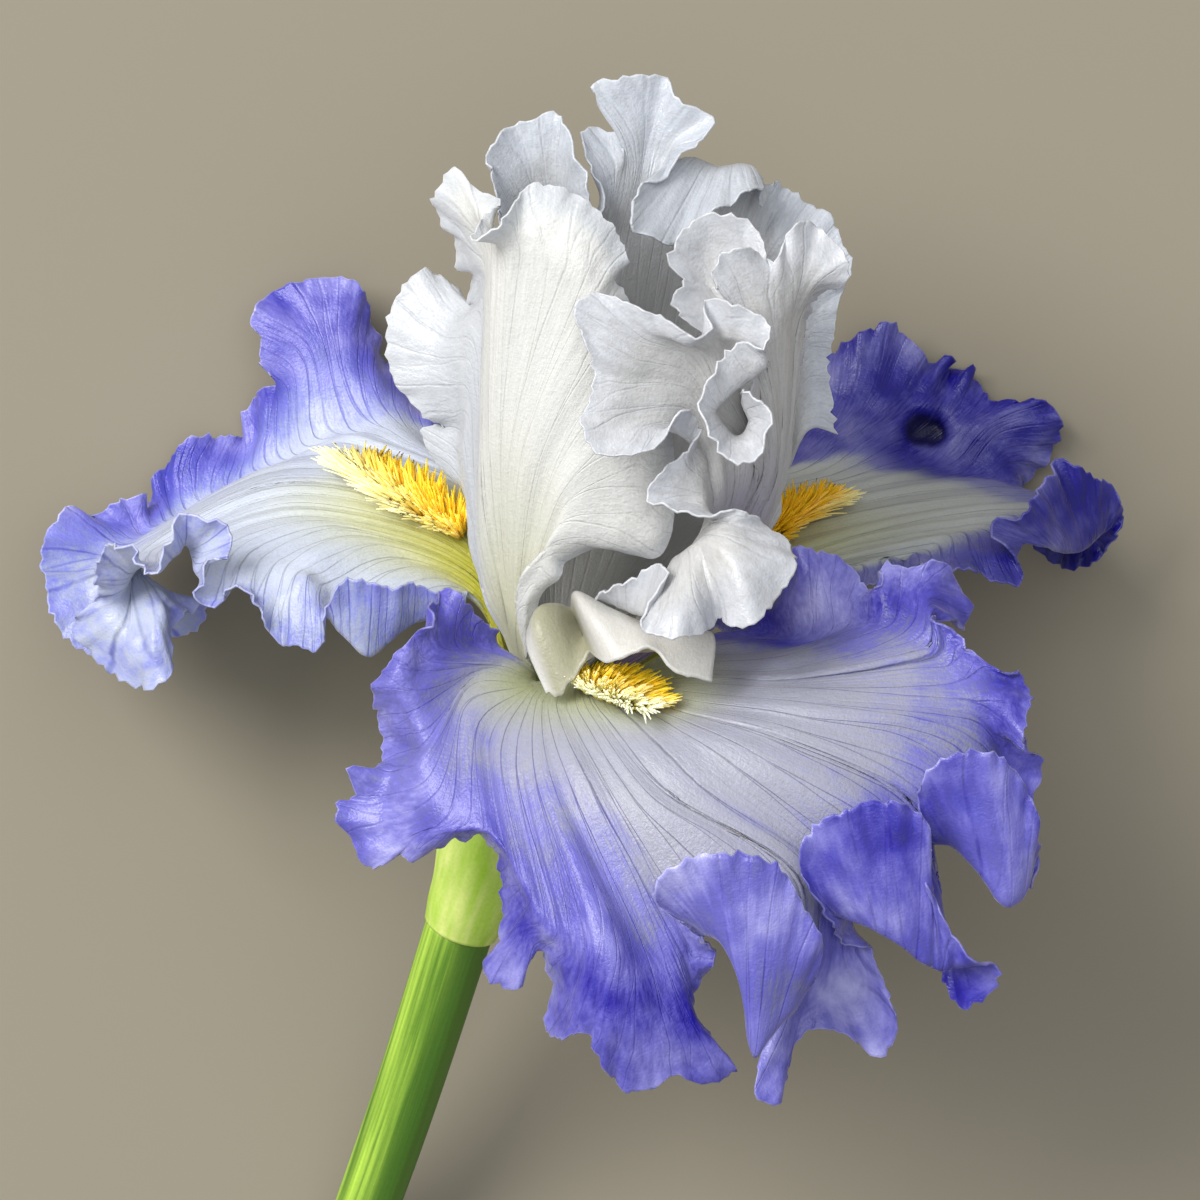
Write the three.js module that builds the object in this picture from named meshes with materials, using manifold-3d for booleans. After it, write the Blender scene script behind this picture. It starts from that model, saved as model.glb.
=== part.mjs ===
// Bearded iris flower on its cut stem, lying on its back on a table.
// Millimetres. X runs across the bloom, Y up the bloom away from the stem, +Z up from the table.
// The hafts of the six tepals meet at HEART. Each tepal is a net: rows near the haft, then one rib
// per wave of the margin with three points on it: the blade, the ruffle and the cut edge.
import * as THREE from 'three';
import { mergeVertices } from 'three/addons/utils/BufferGeometryUtils.js';
import Module from 'manifold-3d';

const BLADE = 0.7;               // thickness of a tepal
const HEART = [-7, -13, -1];     // where the hafts join the tube
const AXIS = [0.126, 0.897, 0.423];        // up the flower, from tube to crown
const OUT = {                    // the way each side fall leaves the heart
  left: [-0.83, 0.32, -0.45], right: [0.89, 0.1, -0.456],
};
const TABLE = -49.65;            // height of the table under the heart
const SHIFT = [3, 15.95, 49.65];   // brings the foot of the bounding box to the origin

const THROAT_R = 5.5;            // the tube's mouth, inside the ring of falls
const CUP_R = 7.6;               // its rim, under the falls
const TUBE_PATH = [              // from the foot of the ovary to the heart
  [-21.42, -50.24, -17.02], [-18.6, -42.5, -13.2], [-14.6, -31, -8.2],
  [-10.4, -21, -3.9], [-7.65, -14.9, -1.9], [-7.12, -13.85, -1.4],
];
const TUBE_RADII = [             // share of the path, radius: ovary, tube, cup
  [0, 3.6], [0.18, 4.5], [0.45, 4.41], [0.66, 3.7], [0.86, 4.4], [0.94, 6.2], [1, CUP_R],
];
const CUP_FROM = 0.93;           // from here on the rings lie square to AXIS
const THROAT = [                 // height over the heart, radius
  [-0.9, CUP_R - 0.4], [-0.75, THROAT_R + 0.3], [0.2, THROAT_R], [0.95, THROAT_R - 0.4],
];
const STEM_PATH = [[-21.7, -50.6, -17.2], [-31.2, -80, -32.2], [-41.6, -108.91, -45.85]];
const STEM_TOP_R = 5.3, STEM_END_R = 4.8;
const STEM_STEPS = [0, 0.12, 0.3, 0.5, 0.7, 0.88, 1];
const SPATHE_BLADE = 0.8;        // thickness of a valve
const VALVES = {                 // turn and wrap round the ovary in radians, radius, share of the path, swell
  spathe_inner: [-1.6, 3.6, 5.2, 0.5, 0], spathe_outer: [0.5, 4.6, 6.5, 0.62, 1.1],
};
const HAIR_D = 0.8, BEARD_SEED = 7;
const STYLE_SHIFT = { left: 1.2, right: 0 };       // the left arm is tucked away from the viewer
const SLOPE_CAP = 1.25;          // steepest slope of a smooth row, against its nearest chord
const TUBE_SIDES = 16, STEM_SIDES = 20, CORE_SIDES = 8, VALVE_STEPS = 12;

const LILAC = 0x8f8bd9, PALE_LILAC = 0x9a9be2, INDIGO = 0x5f5ab8, WHITE = 0xe9edf2, CREAM = 0xe6e6da;
const YELLOW = 0xf0bf1e, OVARY_GREEN = 0x9bbf52, LIME = 0xc8e46e, STEM_GREEN = 0x7fb43a;

// Height on the blade, 0 at the root and 1 at the margin, of each row near the haft and of the three
// points of a rib.
const ROW_V = { root: 0, neck: 0.1, haft: 0.2, mid: 0.42 };
const RIB_V = [0.64, 0.83, 1];

// The front fall, from its left edge round the hanging tip to its right edge.
const fallFront = {
  root: [
    [0, -10.4, -15.3, 4.9], [52, -7.4, -15.9, 4.9], [103, -4.4, -16.1, 4.9],
  ],
  neck: [
    [0, -10.4, -13, 8], [52, -3, -12.6, 13.5], [103, 2, -13.2, 8],
  ],
  haft: [
    [0, -10, -11, 11.5], [18, -11, -13.3, 17], [34, -8, -15.8, 22], [50, 0, -17, 26.5],
    [62, 8, -17.3, 28], [76, 13, -15.7, 26], [90, 14.5, -11.7, 20], [103, 12, -7.2, 12],
  ],
  mid: [
    [0, -12.5, -8.8, 13], [8, -18, -10.5, 17], [16, -20, -16, 20.5], [24, -14, -24, 27],
    [32, -7, -28, 32], [40, 1, -29, 35], [50, 10, -28.5, 36.5], [60, 20, -26, 36.5],
    [70, 27, -21, 34.5], [82, 31, -15.5, 31], [92, 29, -10.5, 25], [98, 25, -8, 18.5],
    [103, 18, -5, 11],
  ],
  ribs: [
    [[-15, -7, 13], [-15.5, -5.5, 13.5], [-15, -4.5, 14]],
    [[-18, -7, 15], [-18.5, -4, 16], [-17.5, -2.8, 15.5]],
    [[-21, -7, 17], [-21.8, -3, 17.5], [-20.5, 0.8, 16.5]],
    [[-23.5, -7.5, 18.5], [-24.8, -3.5, 19], [-24.5, 1.5, 16]],
    [[-25, -8, 19.5], [-26.3, -5.2, 21], [-24.6, -3, 23.5]],
    [[-26.2, -9.3, 20], [-28, -7, 22], [-28.4, -5.4, 22.5]],
    [[-27, -11.5, 21], [-30, -10.3, 23], [-32.3, -9.5, 21.5]],
    [[-27.2, -14, 22], [-31, -13.5, 22], [-34.4, -13.5, 19]],
    [[-27, -16.5, 22.5], [-30.5, -17, 20.5], [-33.8, -17.5, 15]],
    [[-26.6, -19, 23], [-29.5, -20, 19], [-33, -20.5, 15]],
    [[-26, -21.5, 23.5], [-28.5, -22.5, 18], [-33, -24, 14]],
    [[-26.3, -23.5, 25], [-30.5, -24.5, 19], [-35, -25.2, 18]],
    [[-25.8, -25.5, 25.5], [-32, -27, 19.5], [-38.4, -24.6, 20]],
    [[-25.2, -27.2, 26], [-32.5, -29.5, 19.5], [-37, -29, 18]],
    [[-24.4, -28.8, 26.5], [-32.5, -32, 20], [-40.3, -30.7, 18]],
    [[-23.4, -30.2, 27], [-31.5, -34.5, 21], [-38, -36, 18]],
    [[-22.2, -31.2, 27.5], [-29.5, -36, 22.5], [-35, -40.5, 19]],
    [[-21, -32, 28], [-27, -35.5, 25], [-30, -38.6, 22]],
    [[-19.5, -32.7, 29], [-24, -35, 27], [-28.2, -39.3, 23]],
    [[-17.8, -33.3, 30], [-20.5, -34.5, 28.5], [-22.5, -36.8, 24]],
    [[-16, -34.5, 31], [-17.3, -35, 29.5], [-18, -36.1, 25]],
    [[-14.3, -36.8, 32], [-14.8, -37.3, 30.5], [-15.3, -37.8, 26]],
    [[-12.5, -39.8, 33.5], [-12.8, -41.5, 31.5], [-13.8, -42, 27]],
    [[-10.8, -42.5, 35], [-11.3, -45.5, 32.5], [-15, -50, 27]],
    [[-9.5, -45, 36], [-11.8, -48.5, 32.5], [-18.2, -55, 27]],
    [[-8.3, -46.8, 36.5], [-11, -50, 33], [-15, -58.1, 29]],
    [[-7, -48, 37.5], [-9.8, -50.8, 33.5], [-11.7, -57.8, 31]],
    [[-5.8, -48.7, 38.5], [-8, -52.5, 34], [-9.6, -52.3, 31]],
    [[-4.5, -49.2, 39.5], [-6, -55, 35], [-6.5, -57.5, 30]],
    [[-3, -49.3, 40.5], [-4.6, -58.5, 37], [-8.6, -64.5, 31]],
    [[-1.5, -49.2, 41.3], [-3.6, -60.5, 38.5], [-4.8, -65, 35]],
    [[0.2, -49.3, 42], [-1.3, -61.5, 40], [-2.3, -63.9, 38]],
    [[2, -50, 42], [1, -62, 41], [0, -67.3, 38]],
    [[3.8, -51.2, 41.5], [4, -63.5, 41], [2.5, -72, 36]],
    [[5.3, -52.7, 41], [7, -64, 40.5], [7, -73, 36]],
    [[6.8, -53.5, 40], [9.5, -64, 39.5], [11, -70.7, 37]],
    [[8, -53, 39], [12.3, -63.5, 38.5], [15.5, -72.2, 36]],
    [[9, -51.5, 38.5], [14, -62.5, 38], [20.8, -70, 35.5]],
    [[9.8, -49.8, 38.3], [13.2, -59, 37], [14, -61.2, 35]],
    [[10.5, -48.2, 38.3], [13.5, -54.5, 36.5], [16.5, -54.5, 36]],
    [[11.2, -46.6, 38.5], [14, -50.5, 38], [17.3, -50.8, 39]],
    [[12, -45.2, 39], [15.5, -49.3, 40.5], [11.5, -47.3, 45]],
    [[13.5, -44, 39.5], [18.5, -50.5, 42], [7.6, -43.6, 48]],
    [[15.2, -43.2, 40], [20.6, -54, 43.5], [9.5, -39.3, 50]],
    [[17, -42.6, 40.3], [21.7, -59.5, 44.5], [14, -37, 51]],
    [[19, -42.2, 40.5], [22, -65.5, 45], [20, -36.8, 51]],
    [[21.2, -41.8, 40.5], [23, -67.5, 45], [26, -38.2, 50]],
    [[23.5, -41.5, 40.5], [24.5, -65, 44.5], [29.7, -44, 48.5]],
    [[25.8, -41.2, 40.2], [26.5, -62, 43], [33, -50.5, 46]],
    [[27.8, -41, 40], [28, -59.5, 41], [31, -57.5, 43.2]],
    [[29.3, -41, 39.5], [28.3, -58, 37.3], [25.5, -62, 37]],
    [[30.5, -41, 39], [28.7, -60, 36], [22.7, -73, 38.5]],
    [[31.4, -41, 38.5], [29.3, -61, 34.5], [25.7, -75, 37]],
    [[32.2, -41, 38], [31, -59.5, 33], [29, -65.2, 33]],
    [[33, -41, 37.5], [33.5, -58, 32], [35, -64.4, 31]],
    [[33.8, -41, 37], [36.5, -57, 31.5], [42, -68.8, 31]],
    [[34.5, -41, 36.8], [38, -54.5, 31.5], [44.5, -63.5, 31]],
    [[35.2, -41, 36.6], [38, -51.8, 32.5], [42.5, -57, 32]],
    [[36, -40.8, 36.6], [37, -48.5, 34], [40, -52.3, 33.5]],
    [[36.8, -40.4, 36.8], [36, -46.5, 37], [33.3, -48, 40]],
    [[37.6, -39.8, 37], [36.5, -47, 39.5], [29, -38, 44]],
    [[38.5, -39, 37.2], [39, -47.8, 40.5], [31.8, -32.8, 46]],
    [[39.5, -38, 37.4], [42, -49.3, 41], [37, -30.2, 47]],
    [[40.5, -37, 37.4], [45, -51.5, 40.5], [42.5, -29, 46]],
    [[41.5, -36, 37.2], [48, -54, 39.5], [48.3, -32.5, 44]],
    [[42.3, -35, 36.8], [50, -55, 38], [49, -42, 42]],
    [[43, -34, 36.4], [51, -54, 36.5], [54, -51, 40]],
    [[43.6, -33, 36], [51.5, -52.5, 34.5], [59.5, -56, 37]],
    [[44.2, -32, 35.6], [51.5, -50, 33], [54, -61.3, 33]],
    [[44.8, -31, 35.2], [51, -46.5, 32.5], [51.5, -55, 31]],
    [[45.4, -30, 34.8], [50, -42, 32.5], [50.5, -46, 32]],
    [[46, -29, 34.4], [49, -37, 33], [49.5, -37, 34]],
    [[46.8, -28, 34.2], [50.5, -36, 35], [47.3, -33.5, 39]],
    [[47.6, -27, 34], [53, -37.3, 37], [47.3, -26, 43]],
    [[48.4, -26, 33.8], [56, -40, 38.5], [51, -22.6, 44]],
    [[49.2, -25, 33.6], [58.5, -43, 39], [57.5, -22, 44]],
    [[50, -24, 33.2], [60.3, -45.5, 38], [62.5, -26, 42]],
    [[50.8, -23, 32.8], [61.5, -44, 36], [65.3, -33.5, 39]],
    [[51.6, -22, 32.4], [62, -41, 33.5], [66, -37.5, 35]],
    [[52.4, -21, 32], [61.5, -36.5, 31], [64, -44, 32]],
    [[53.2, -20, 31.6], [60.5, -31, 29], [63.5, -36, 28]],
    [[53.8, -19, 31.2], [60.5, -27, 27.5], [65, -29, 25]],
    [[54.2, -18, 30.8], [60, -23.5, 27.5], [66.6, -24, 24]],
    [[54.4, -17, 30.4], [59.8, -21, 28.5], [63.5, -22, 27]],
    [[54.4, -16, 30.2], [59.5, -18.5, 30], [62.6, -23, 32]],
    [[54.2, -14.8, 30], [59.5, -15.5, 31], [63.8, -18, 32]],
    [[53.8, -13.5, 29.6], [59.5, -13, 29.5], [64.7, -13.5, 28]],
    [[53, -12, 29], [57.5, -10.5, 28.5], [61.5, -11.5, 29]],
    [[52, -10.5, 28.3], [55, -8.5, 27.5], [57, -9, 28]],
    [[50.5, -9, 27.5], [52, -5.5, 26.5], [53, -5.8, 27]],
    [[49, -7.5, 26.8], [50, -3, 25], [50, -2, 25]],
    [[47.5, -6.5, 26], [49.5, -0.5, 22.5], [55.3, -4.6, 17]],
    [[46, -5.5, 25], [49, 1, 21], [55.5, 1, 16]],
    [[44.5, -5, 24], [47.5, 2, 20], [51.3, 6, 17]],
    [[43, -4.5, 23], [45, 2, 20], [46.5, 5.2, 19]],
    [[41.5, -4.2, 22], [42.3, 1.5, 20.5], [43, 6, 18]],
    [[40, -4, 21], [40.5, 0, 19], [41.3, 2, 21]],
    [[38, -4, 20.3], [38, 0, 17], [39.5, 3, 14.5]],
    [[36, -4.5, 20], [36, 1, 17.5], [37, 6, 14]],
    [[33.5, -5, 19.5], [33.2, 2, 17.5], [33, 7.8, 14]],
    [[31, -5.5, 18.5], [30.5, 1, 16], [30, 8, 13]],
    [[28.5, -5.5, 17], [27.5, -1, 14], [28.3, 3, 11]],
    [[25.3, -5.2, 15], [25, -2.2, 12.6], [25, 0.4, 10.2]],
    [[22, -4.4, 12.2], [21.8, -2.8, 10.8], [21.5, -1.4, 9.4]],
  ],
};

// The left fall, from its near edge out to the tip and back along its far, upturned edge.
const fallLeft = {
  root: [
    [0, -14, -11.8, -1.6], [40, -12.4, -10.9, -3.9], [68, -10.8, -10, -6.3],
  ],
  haft: [
    [0, -16.5, -4, -3], [10, -19, 3, -3.5], [26, -20.5, 8, -5], [42, -21, 11.5, -8.5],
    [52, -18, 14.5, -15], [68, -13.5, 13, -21],
  ],
  mid: [
    [0, -18.5, -0.5, -2.5], [5, -28, 5, -4], [10, -36, 9.5, -6.5], [18, -44, 13, -9],
    [30, -47, 17, -13], [42, -48.5, 19, -18], [48, -46.5, 21, -24], [53, -44, 22, -29],
    [58, -37, 24.5, -29.5], [63, -30, 24.5, -29], [68, -20, 19, -28],
  ],
  ribs: [
    [[-20, 1, -2], [-20.5, -0.5, 0], [-21, 1, 2.5]],
    [[-24, 0.5, -1], [-25, -2.5, 2], [-25, 1.6, 4]],
    [[-28, 0.5, 0], [-29, -4.5, 3.5], [-28.3, 2.8, 6]],
    [[-31.5, 0.5, 0.5], [-32, -6.5, 4.5], [-31.5, 2.2, 7]],
    [[-34.5, 0.8, 1], [-35, -8.4, 5], [-34.5, 3.2, 8]],
    [[-37, 1.5, 1], [-38, -6, 5], [-38.8, 3.5, 8]],
    [[-39, 2.5, 1], [-40.5, -2.5, 5], [-41.5, -1, 8]],
    [[-41, 3.5, 0.5], [-43, 1, 4], [-42, -8.3, 8]],
    [[-43, 4.5, 0.5], [-45, 3, 4], [-45.5, -7.5, 6]],
    [[-45, 5.5, 0], [-48, 0, 4], [-48.5, -7, 5]],
    [[-47.5, 6, -0.5], [-50, 0, 3.5], [-51.8, -3, 5]],
    [[-50, 6.5, -1], [-52.5, 1.8, 3], [-51.6, 0, 6]],
    [[-52, 7, -2], [-54.5, 2.5, 2], [-55, 1.6, 4]],
    [[-54, 7.5, -3], [-57.5, 1.5, 1.5], [-59.5, -1, 3]],
    [[-56, 8, -4], [-60.5, 3, 1], [-61.7, 2, 5]],
    [[-57.6, 8.3, -5], [-61.5, 4, 1.5], [-59.5, 5.3, 6]],
    [[-59, 8.4, -6], [-61.8, 5.2, 1.5], [-56.5, 6.2, 7]],
    [[-60.3, 8.5, -7.2], [-61.5, 6.6, 1.2], [-55.3, 9, 7.5]],
    [[-61.5, 8.6, -8.4], [-61.5, 8, 1], [-57, 11.8, 7.5]],
    [[-62.6, 8.6, -9.6], [-62.5, 8.8, 0.6], [-61.6, 13, 6.5]],
    [[-63.6, 8.5, -10.8], [-63.8, 8, 0.2], [-65, 11.5, 6]],
    [[-64.5, 8.4, -12], [-64.8, 6.8, -0.2], [-66.3, 8.5, 5.5]],
    [[-65.3, 8.3, -13.2], [-65.8, 5.4, -0.8], [-66.9, 4.6, 5]],
    [[-66, 8.2, -14.4], [-67.2, 4.8, -2], [-69.3, 3.4, 4]],
    [[-66.7, 8.1, -15.5], [-69, 5.2, -3.5], [-70.9, 6, 3.2]],
    [[-67.4, 8, -16.6], [-70.5, 5.6, -5], [-72.6, 8.6, 2]],
    [[-68, 7.9, -17.6], [-71.8, 4.8, -8], [-75.8, 8.3, -3]],
    [[-68.6, 7.8, -18.6], [-72.6, 3.4, -10], [-77.6, 4.8, -8]],
    [[-69.1, 7.7, -19.5], [-73.4, 1.6, -12], [-77.4, 0.6, -13]],
    [[-69.5, 7.6, -20.3], [-74.2, -0.4, -13.2], [-81.2, -3.4, -17]],
    [[-69.9, 7.5, -21], [-73.6, -2.8, -13], [-79.8, -7.6, -17]],
    [[-70.2, 7.4, -21.7], [-72, -4.8, -11.6], [-75.8, -11.5, -15]],
    [[-70.5, 7.3, -22.3], [-70, -5.2, -9.8], [-70.3, -13.9, -11.5]],
    [[-70.7, 7.2, -22.9], [-68, -3.8, -9], [-66.2, -12.5, -9]],
    [[-70.9, 7.2, -23.5], [-67, -0.8, -11.5], [-65.6, -5.5, -11.5]],
    [[-71.1, 7.2, -24.1], [-67, 1.4, -17], [-61.4, -0.6, -17.5]],
    [[-71.3, 7.3, -24.8], [-69.3, 1.8, -21.5], [-61, -3.8, -22]],
    [[-71.5, 7.4, -25.6], [-72.5, 0.4, -24.4], [-66.5, -6.8, -25.5]],
    [[-71.7, 7.5, -26.4], [-75, -0.3, -26], [-74.5, -10.3, -26.3]],
    [[-71.9, 7.7, -27.3], [-76.8, 0.9, -27.4], [-81.6, -7.7, -27]],
    [[-72.1, 7.9, -28.3], [-78, 2.6, -29], [-85.4, -2.2, -28.3]],
    [[-72.2, 8.1, -29.4], [-78.5, 4.8, -30.8], [-86.2, 2.5, -29.8]],
    [[-72.4, 8.5, -31], [-78.5, 7, -33], [-87.3, 7, -32]],
    [[-72.4, 9, -32.5], [-78, 9, -35], [-85.5, 12.3, -34]],
    [[-72, 9.5, -34], [-76.5, 10.5, -36.5], [-82, 15.4, -36]],
    [[-71.3, 10, -35.3], [-75, 11, -38], [-80, 12.8, -40]],
    [[-70.3, 10.5, -36.5], [-73.3, 12, -39], [-76, 15.5, -38.5]],
    [[-69, 11, -37.5], [-71.5, 13, -40], [-72.5, 16.5, -41]],
    [[-67.3, 11.7, -38.5], [-69.5, 13.5, -42], [-70.5, 14.5, -45]],
    [[-65.5, 12.5, -39.5], [-68, 16, -44], [-69.3, 20, -46]],
    [[-63.5, 13.5, -40.3], [-66, 19, -44.5], [-65.7, 24.5, -46]],
    [[-61.5, 14.7, -41], [-63, 20.5, -44.5], [-61.5, 26.3, -46]],
    [[-59.5, 16, -41.5], [-60, 21, -44.5], [-57.5, 26.3, -47]],
    [[-57.5, 17.3, -42], [-57, 21.5, -45], [-55.7, 26, -49.7]],
    [[-55.5, 18.6, -42], [-55, 24, -46], [-56, 29.5, -47]],
    [[-53, 20, -41.5], [-53, 27.5, -44], [-54, 33, -44]],
    [[-50.5, 21.5, -40.5], [-51, 30, -42], [-50.3, 34.3, -41]],
    [[-48, 23, -39.5], [-49, 32.5, -40], [-53.4, 37.5, -40]],
    [[-45.5, 24.5, -38.5], [-47.5, 36, -39], [-53.2, 41, -40]],
    [[-43.3, 26, -37.5], [-46, 38.5, -39], [-55, 44, -40.5]],
    [[-41, 27, -36.7], [-44.5, 40.5, -39], [-51.5, 48.7, -42]],
    [[-39, 28, -36], [-42.5, 41, -39], [-45, 50.6, -42]],
    [[-37, 28.7, -35.5], [-40, 40.5, -39], [-39, 50.7, -42]],
    [[-35, 29, -35], [-37.5, 38.5, -39.5], [-36.3, 46.5, -43]],
    [[-33, 29, -35], [-35, 36.5, -40], [-34.5, 40, -45]],
    [[-31, 28.5, -35], [-32, 34.5, -41], [-31, 38.5, -46]],
    [[-28.5, 27.5, -35], [-29, 31.5, -41], [-28, 34, -45.5]],
    [[-26, 26, -34], [-26, 28.5, -39], [-25.5, 30, -43]],
    [[-23, 23.5, -32], [-23, 25, -36], [-23, 26, -39]],
  ],
};

// The right fall, from its near edge out to the tip and back along its far, upturned edge.
const fallRight = {
  root: [
    [0, 0.2, -13.7, -1.6], [22, -1.2, -12.4, -4], [45, -2.6, -11, -6.3],
  ],
  haft: [
    [0, 9, -8.5, -2], [10, 14, -3, -5], [18, 15.5, 2, -9], [26, 15, 7, -14], [35, 13, 11, -19.5],
    [45, 9.5, 11.5, -25],
  ],
  mid: [
    [0, 11.5, -7, -2.5], [5, 25, 1, -7], [10, 34, 6, -11], [16, 41, 10.5, -15.5],
    [22, 45, 13.5, -20.5], [28, 44, 16.5, -26], [34, 38, 19, -31], [40, 30, 20, -33.5],
    [45, 17, 16, -31],
  ],
  ribs: [
    [[14, -5, -3], [14.5, -6, -1], [14.5, -6.5, 1]],
    [[20, -2, -4.5], [20.5, -3.5, -2.5], [20.5, -4.5, -1]],
    [[26, 0.5, -6], [26.5, -1.5, -4], [26.5, -3, -3]],
    [[31.5, 2.5, -8], [32, 0.5, -6], [32, -1, -5]],
    [[36.5, 4, -9.5], [37, 2, -8], [37, 0.5, -7]],
    [[41, 5.5, -11], [41.7, 3.5, -10], [42, 2.5, -9]],
    [[45, 6.7, -12.5], [46, 5, -11.5], [46.5, 4.5, -10.5]],
    [[48.5, 7.7, -14], [50, 5.8, -12.5], [50.5, 5, -11]],
    [[51.5, 8.7, -15.5], [53.5, 6, -13], [54, 3.2, -11]],
    [[54.2, 9.6, -17], [56.5, 6.8, -14], [58, 3, -12]],
    [[56.6, 10.4, -18.5], [59, 7, -14.5], [61, 2, -12]],
    [[58.8, 11.2, -20], [61.5, 7.5, -15], [64, 1.3, -12.5]],
    [[60.8, 11.9, -21.5], [63, 8, -16], [65, 4.3, -14]],
    [[62.6, 12.5, -23], [64.5, 8.7, -17], [62.8, 6.3, -13]],
    [[64, 13, -24.5], [66.5, 9, -18.5], [59.5, 9.3, -12.5]],
    [[65.2, 13.5, -26], [68.5, 8.5, -20], [60, 11.3, -12.5]],
    [[66.2, 14, -27.5], [70.5, 8, -22], [64.5, 13.3, -14]],
    [[67, 14.4, -29], [72, 7.5, -24], [67.3, 16.5, -16]],
    [[67.7, 14.7, -30.5], [73.5, 7.5, -26], [67.8, 18.7, -18]],
    [[68.3, 15, -32], [75, 8.5, -28], [72.3, 22, -21]],
    [[68.7, 15.2, -33.5], [76.5, 9.5, -30], [77, 18.7, -24]],
    [[69, 15.4, -35], [77.5, 10.5, -32], [80.3, 17, -27]],
    [[69, 15.6, -36.3], [77.5, 11, -34], [81.2, 12, -31]],
    [[68.8, 15.9, -37.5], [76.5, 10.5, -36], [79.5, 7.5, -35]],
    [[68.3, 16.3, -38.5], [74.5, 9.5, -38], [75, 4.5, -38]],
    [[67.5, 16.8, -39.3], [72, 10.5, -39.5], [70.5, 5, -41]],
    [[66.3, 17.3, -40], [69, 13.5, -41], [68.5, 9, -43.5]],
    [[64.5, 17.8, -40.5], [66, 17, -43], [65, 16.5, -46]],
    [[62, 18.3, -41], [64, 20, -44], [66, 18.5, -48]],
    [[59.5, 19, -41.3], [64, 22.5, -44], [71.5, 22.5, -47]],
    [[57, 19.7, -41.5], [63, 25, -43.5], [73, 26, -46]],
    [[54.5, 20.5, -41.5], [61.5, 27, -43], [71.5, 30, -45]],
    [[52.3, 21.3, -41.5], [59.5, 28, -43], [67.5, 32, -44.5]],
    [[50.2, 22.2, -41], [57.5, 28, -43.5], [62, 31, -46]],
    [[48, 23, -40.5], [55.5, 28, -44], [60.8, 33, -47]],
    [[46, 23.8, -40], [53.5, 29, -44], [58.5, 37.5, -47]],
    [[44, 24.4, -39.3], [51.5, 30.5, -43.5], [55.5, 36.5, -49.7]],
    [[42, 24.9, -38.6], [49.5, 31, -43], [54.5, 38.8, -47]],
    [[40, 25.2, -38], [47, 31.5, -42.5], [51, 37.5, -47]],
    [[38, 25.2, -37.5], [44, 32, -42], [48, 41, -46]],
    [[36, 25, -37], [41.5, 32, -41.5], [45.3, 44, -45]],
    [[34, 24.6, -36.5], [38.5, 31.5, -41], [41, 41.3, -45]],
    [[31.5, 24, -36], [35.5, 30.5, -41], [36, 40, -46]],
    [[29, 23, -35], [32, 29, -40.5], [32, 36, -46]],
    [[26, 21.5, -33], [28, 26, -38.5], [28, 30.5, -44]],
    [[22.5, 19.5, -30], [24, 22.5, -34.5], [24, 25, -39]],
  ],
};

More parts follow.
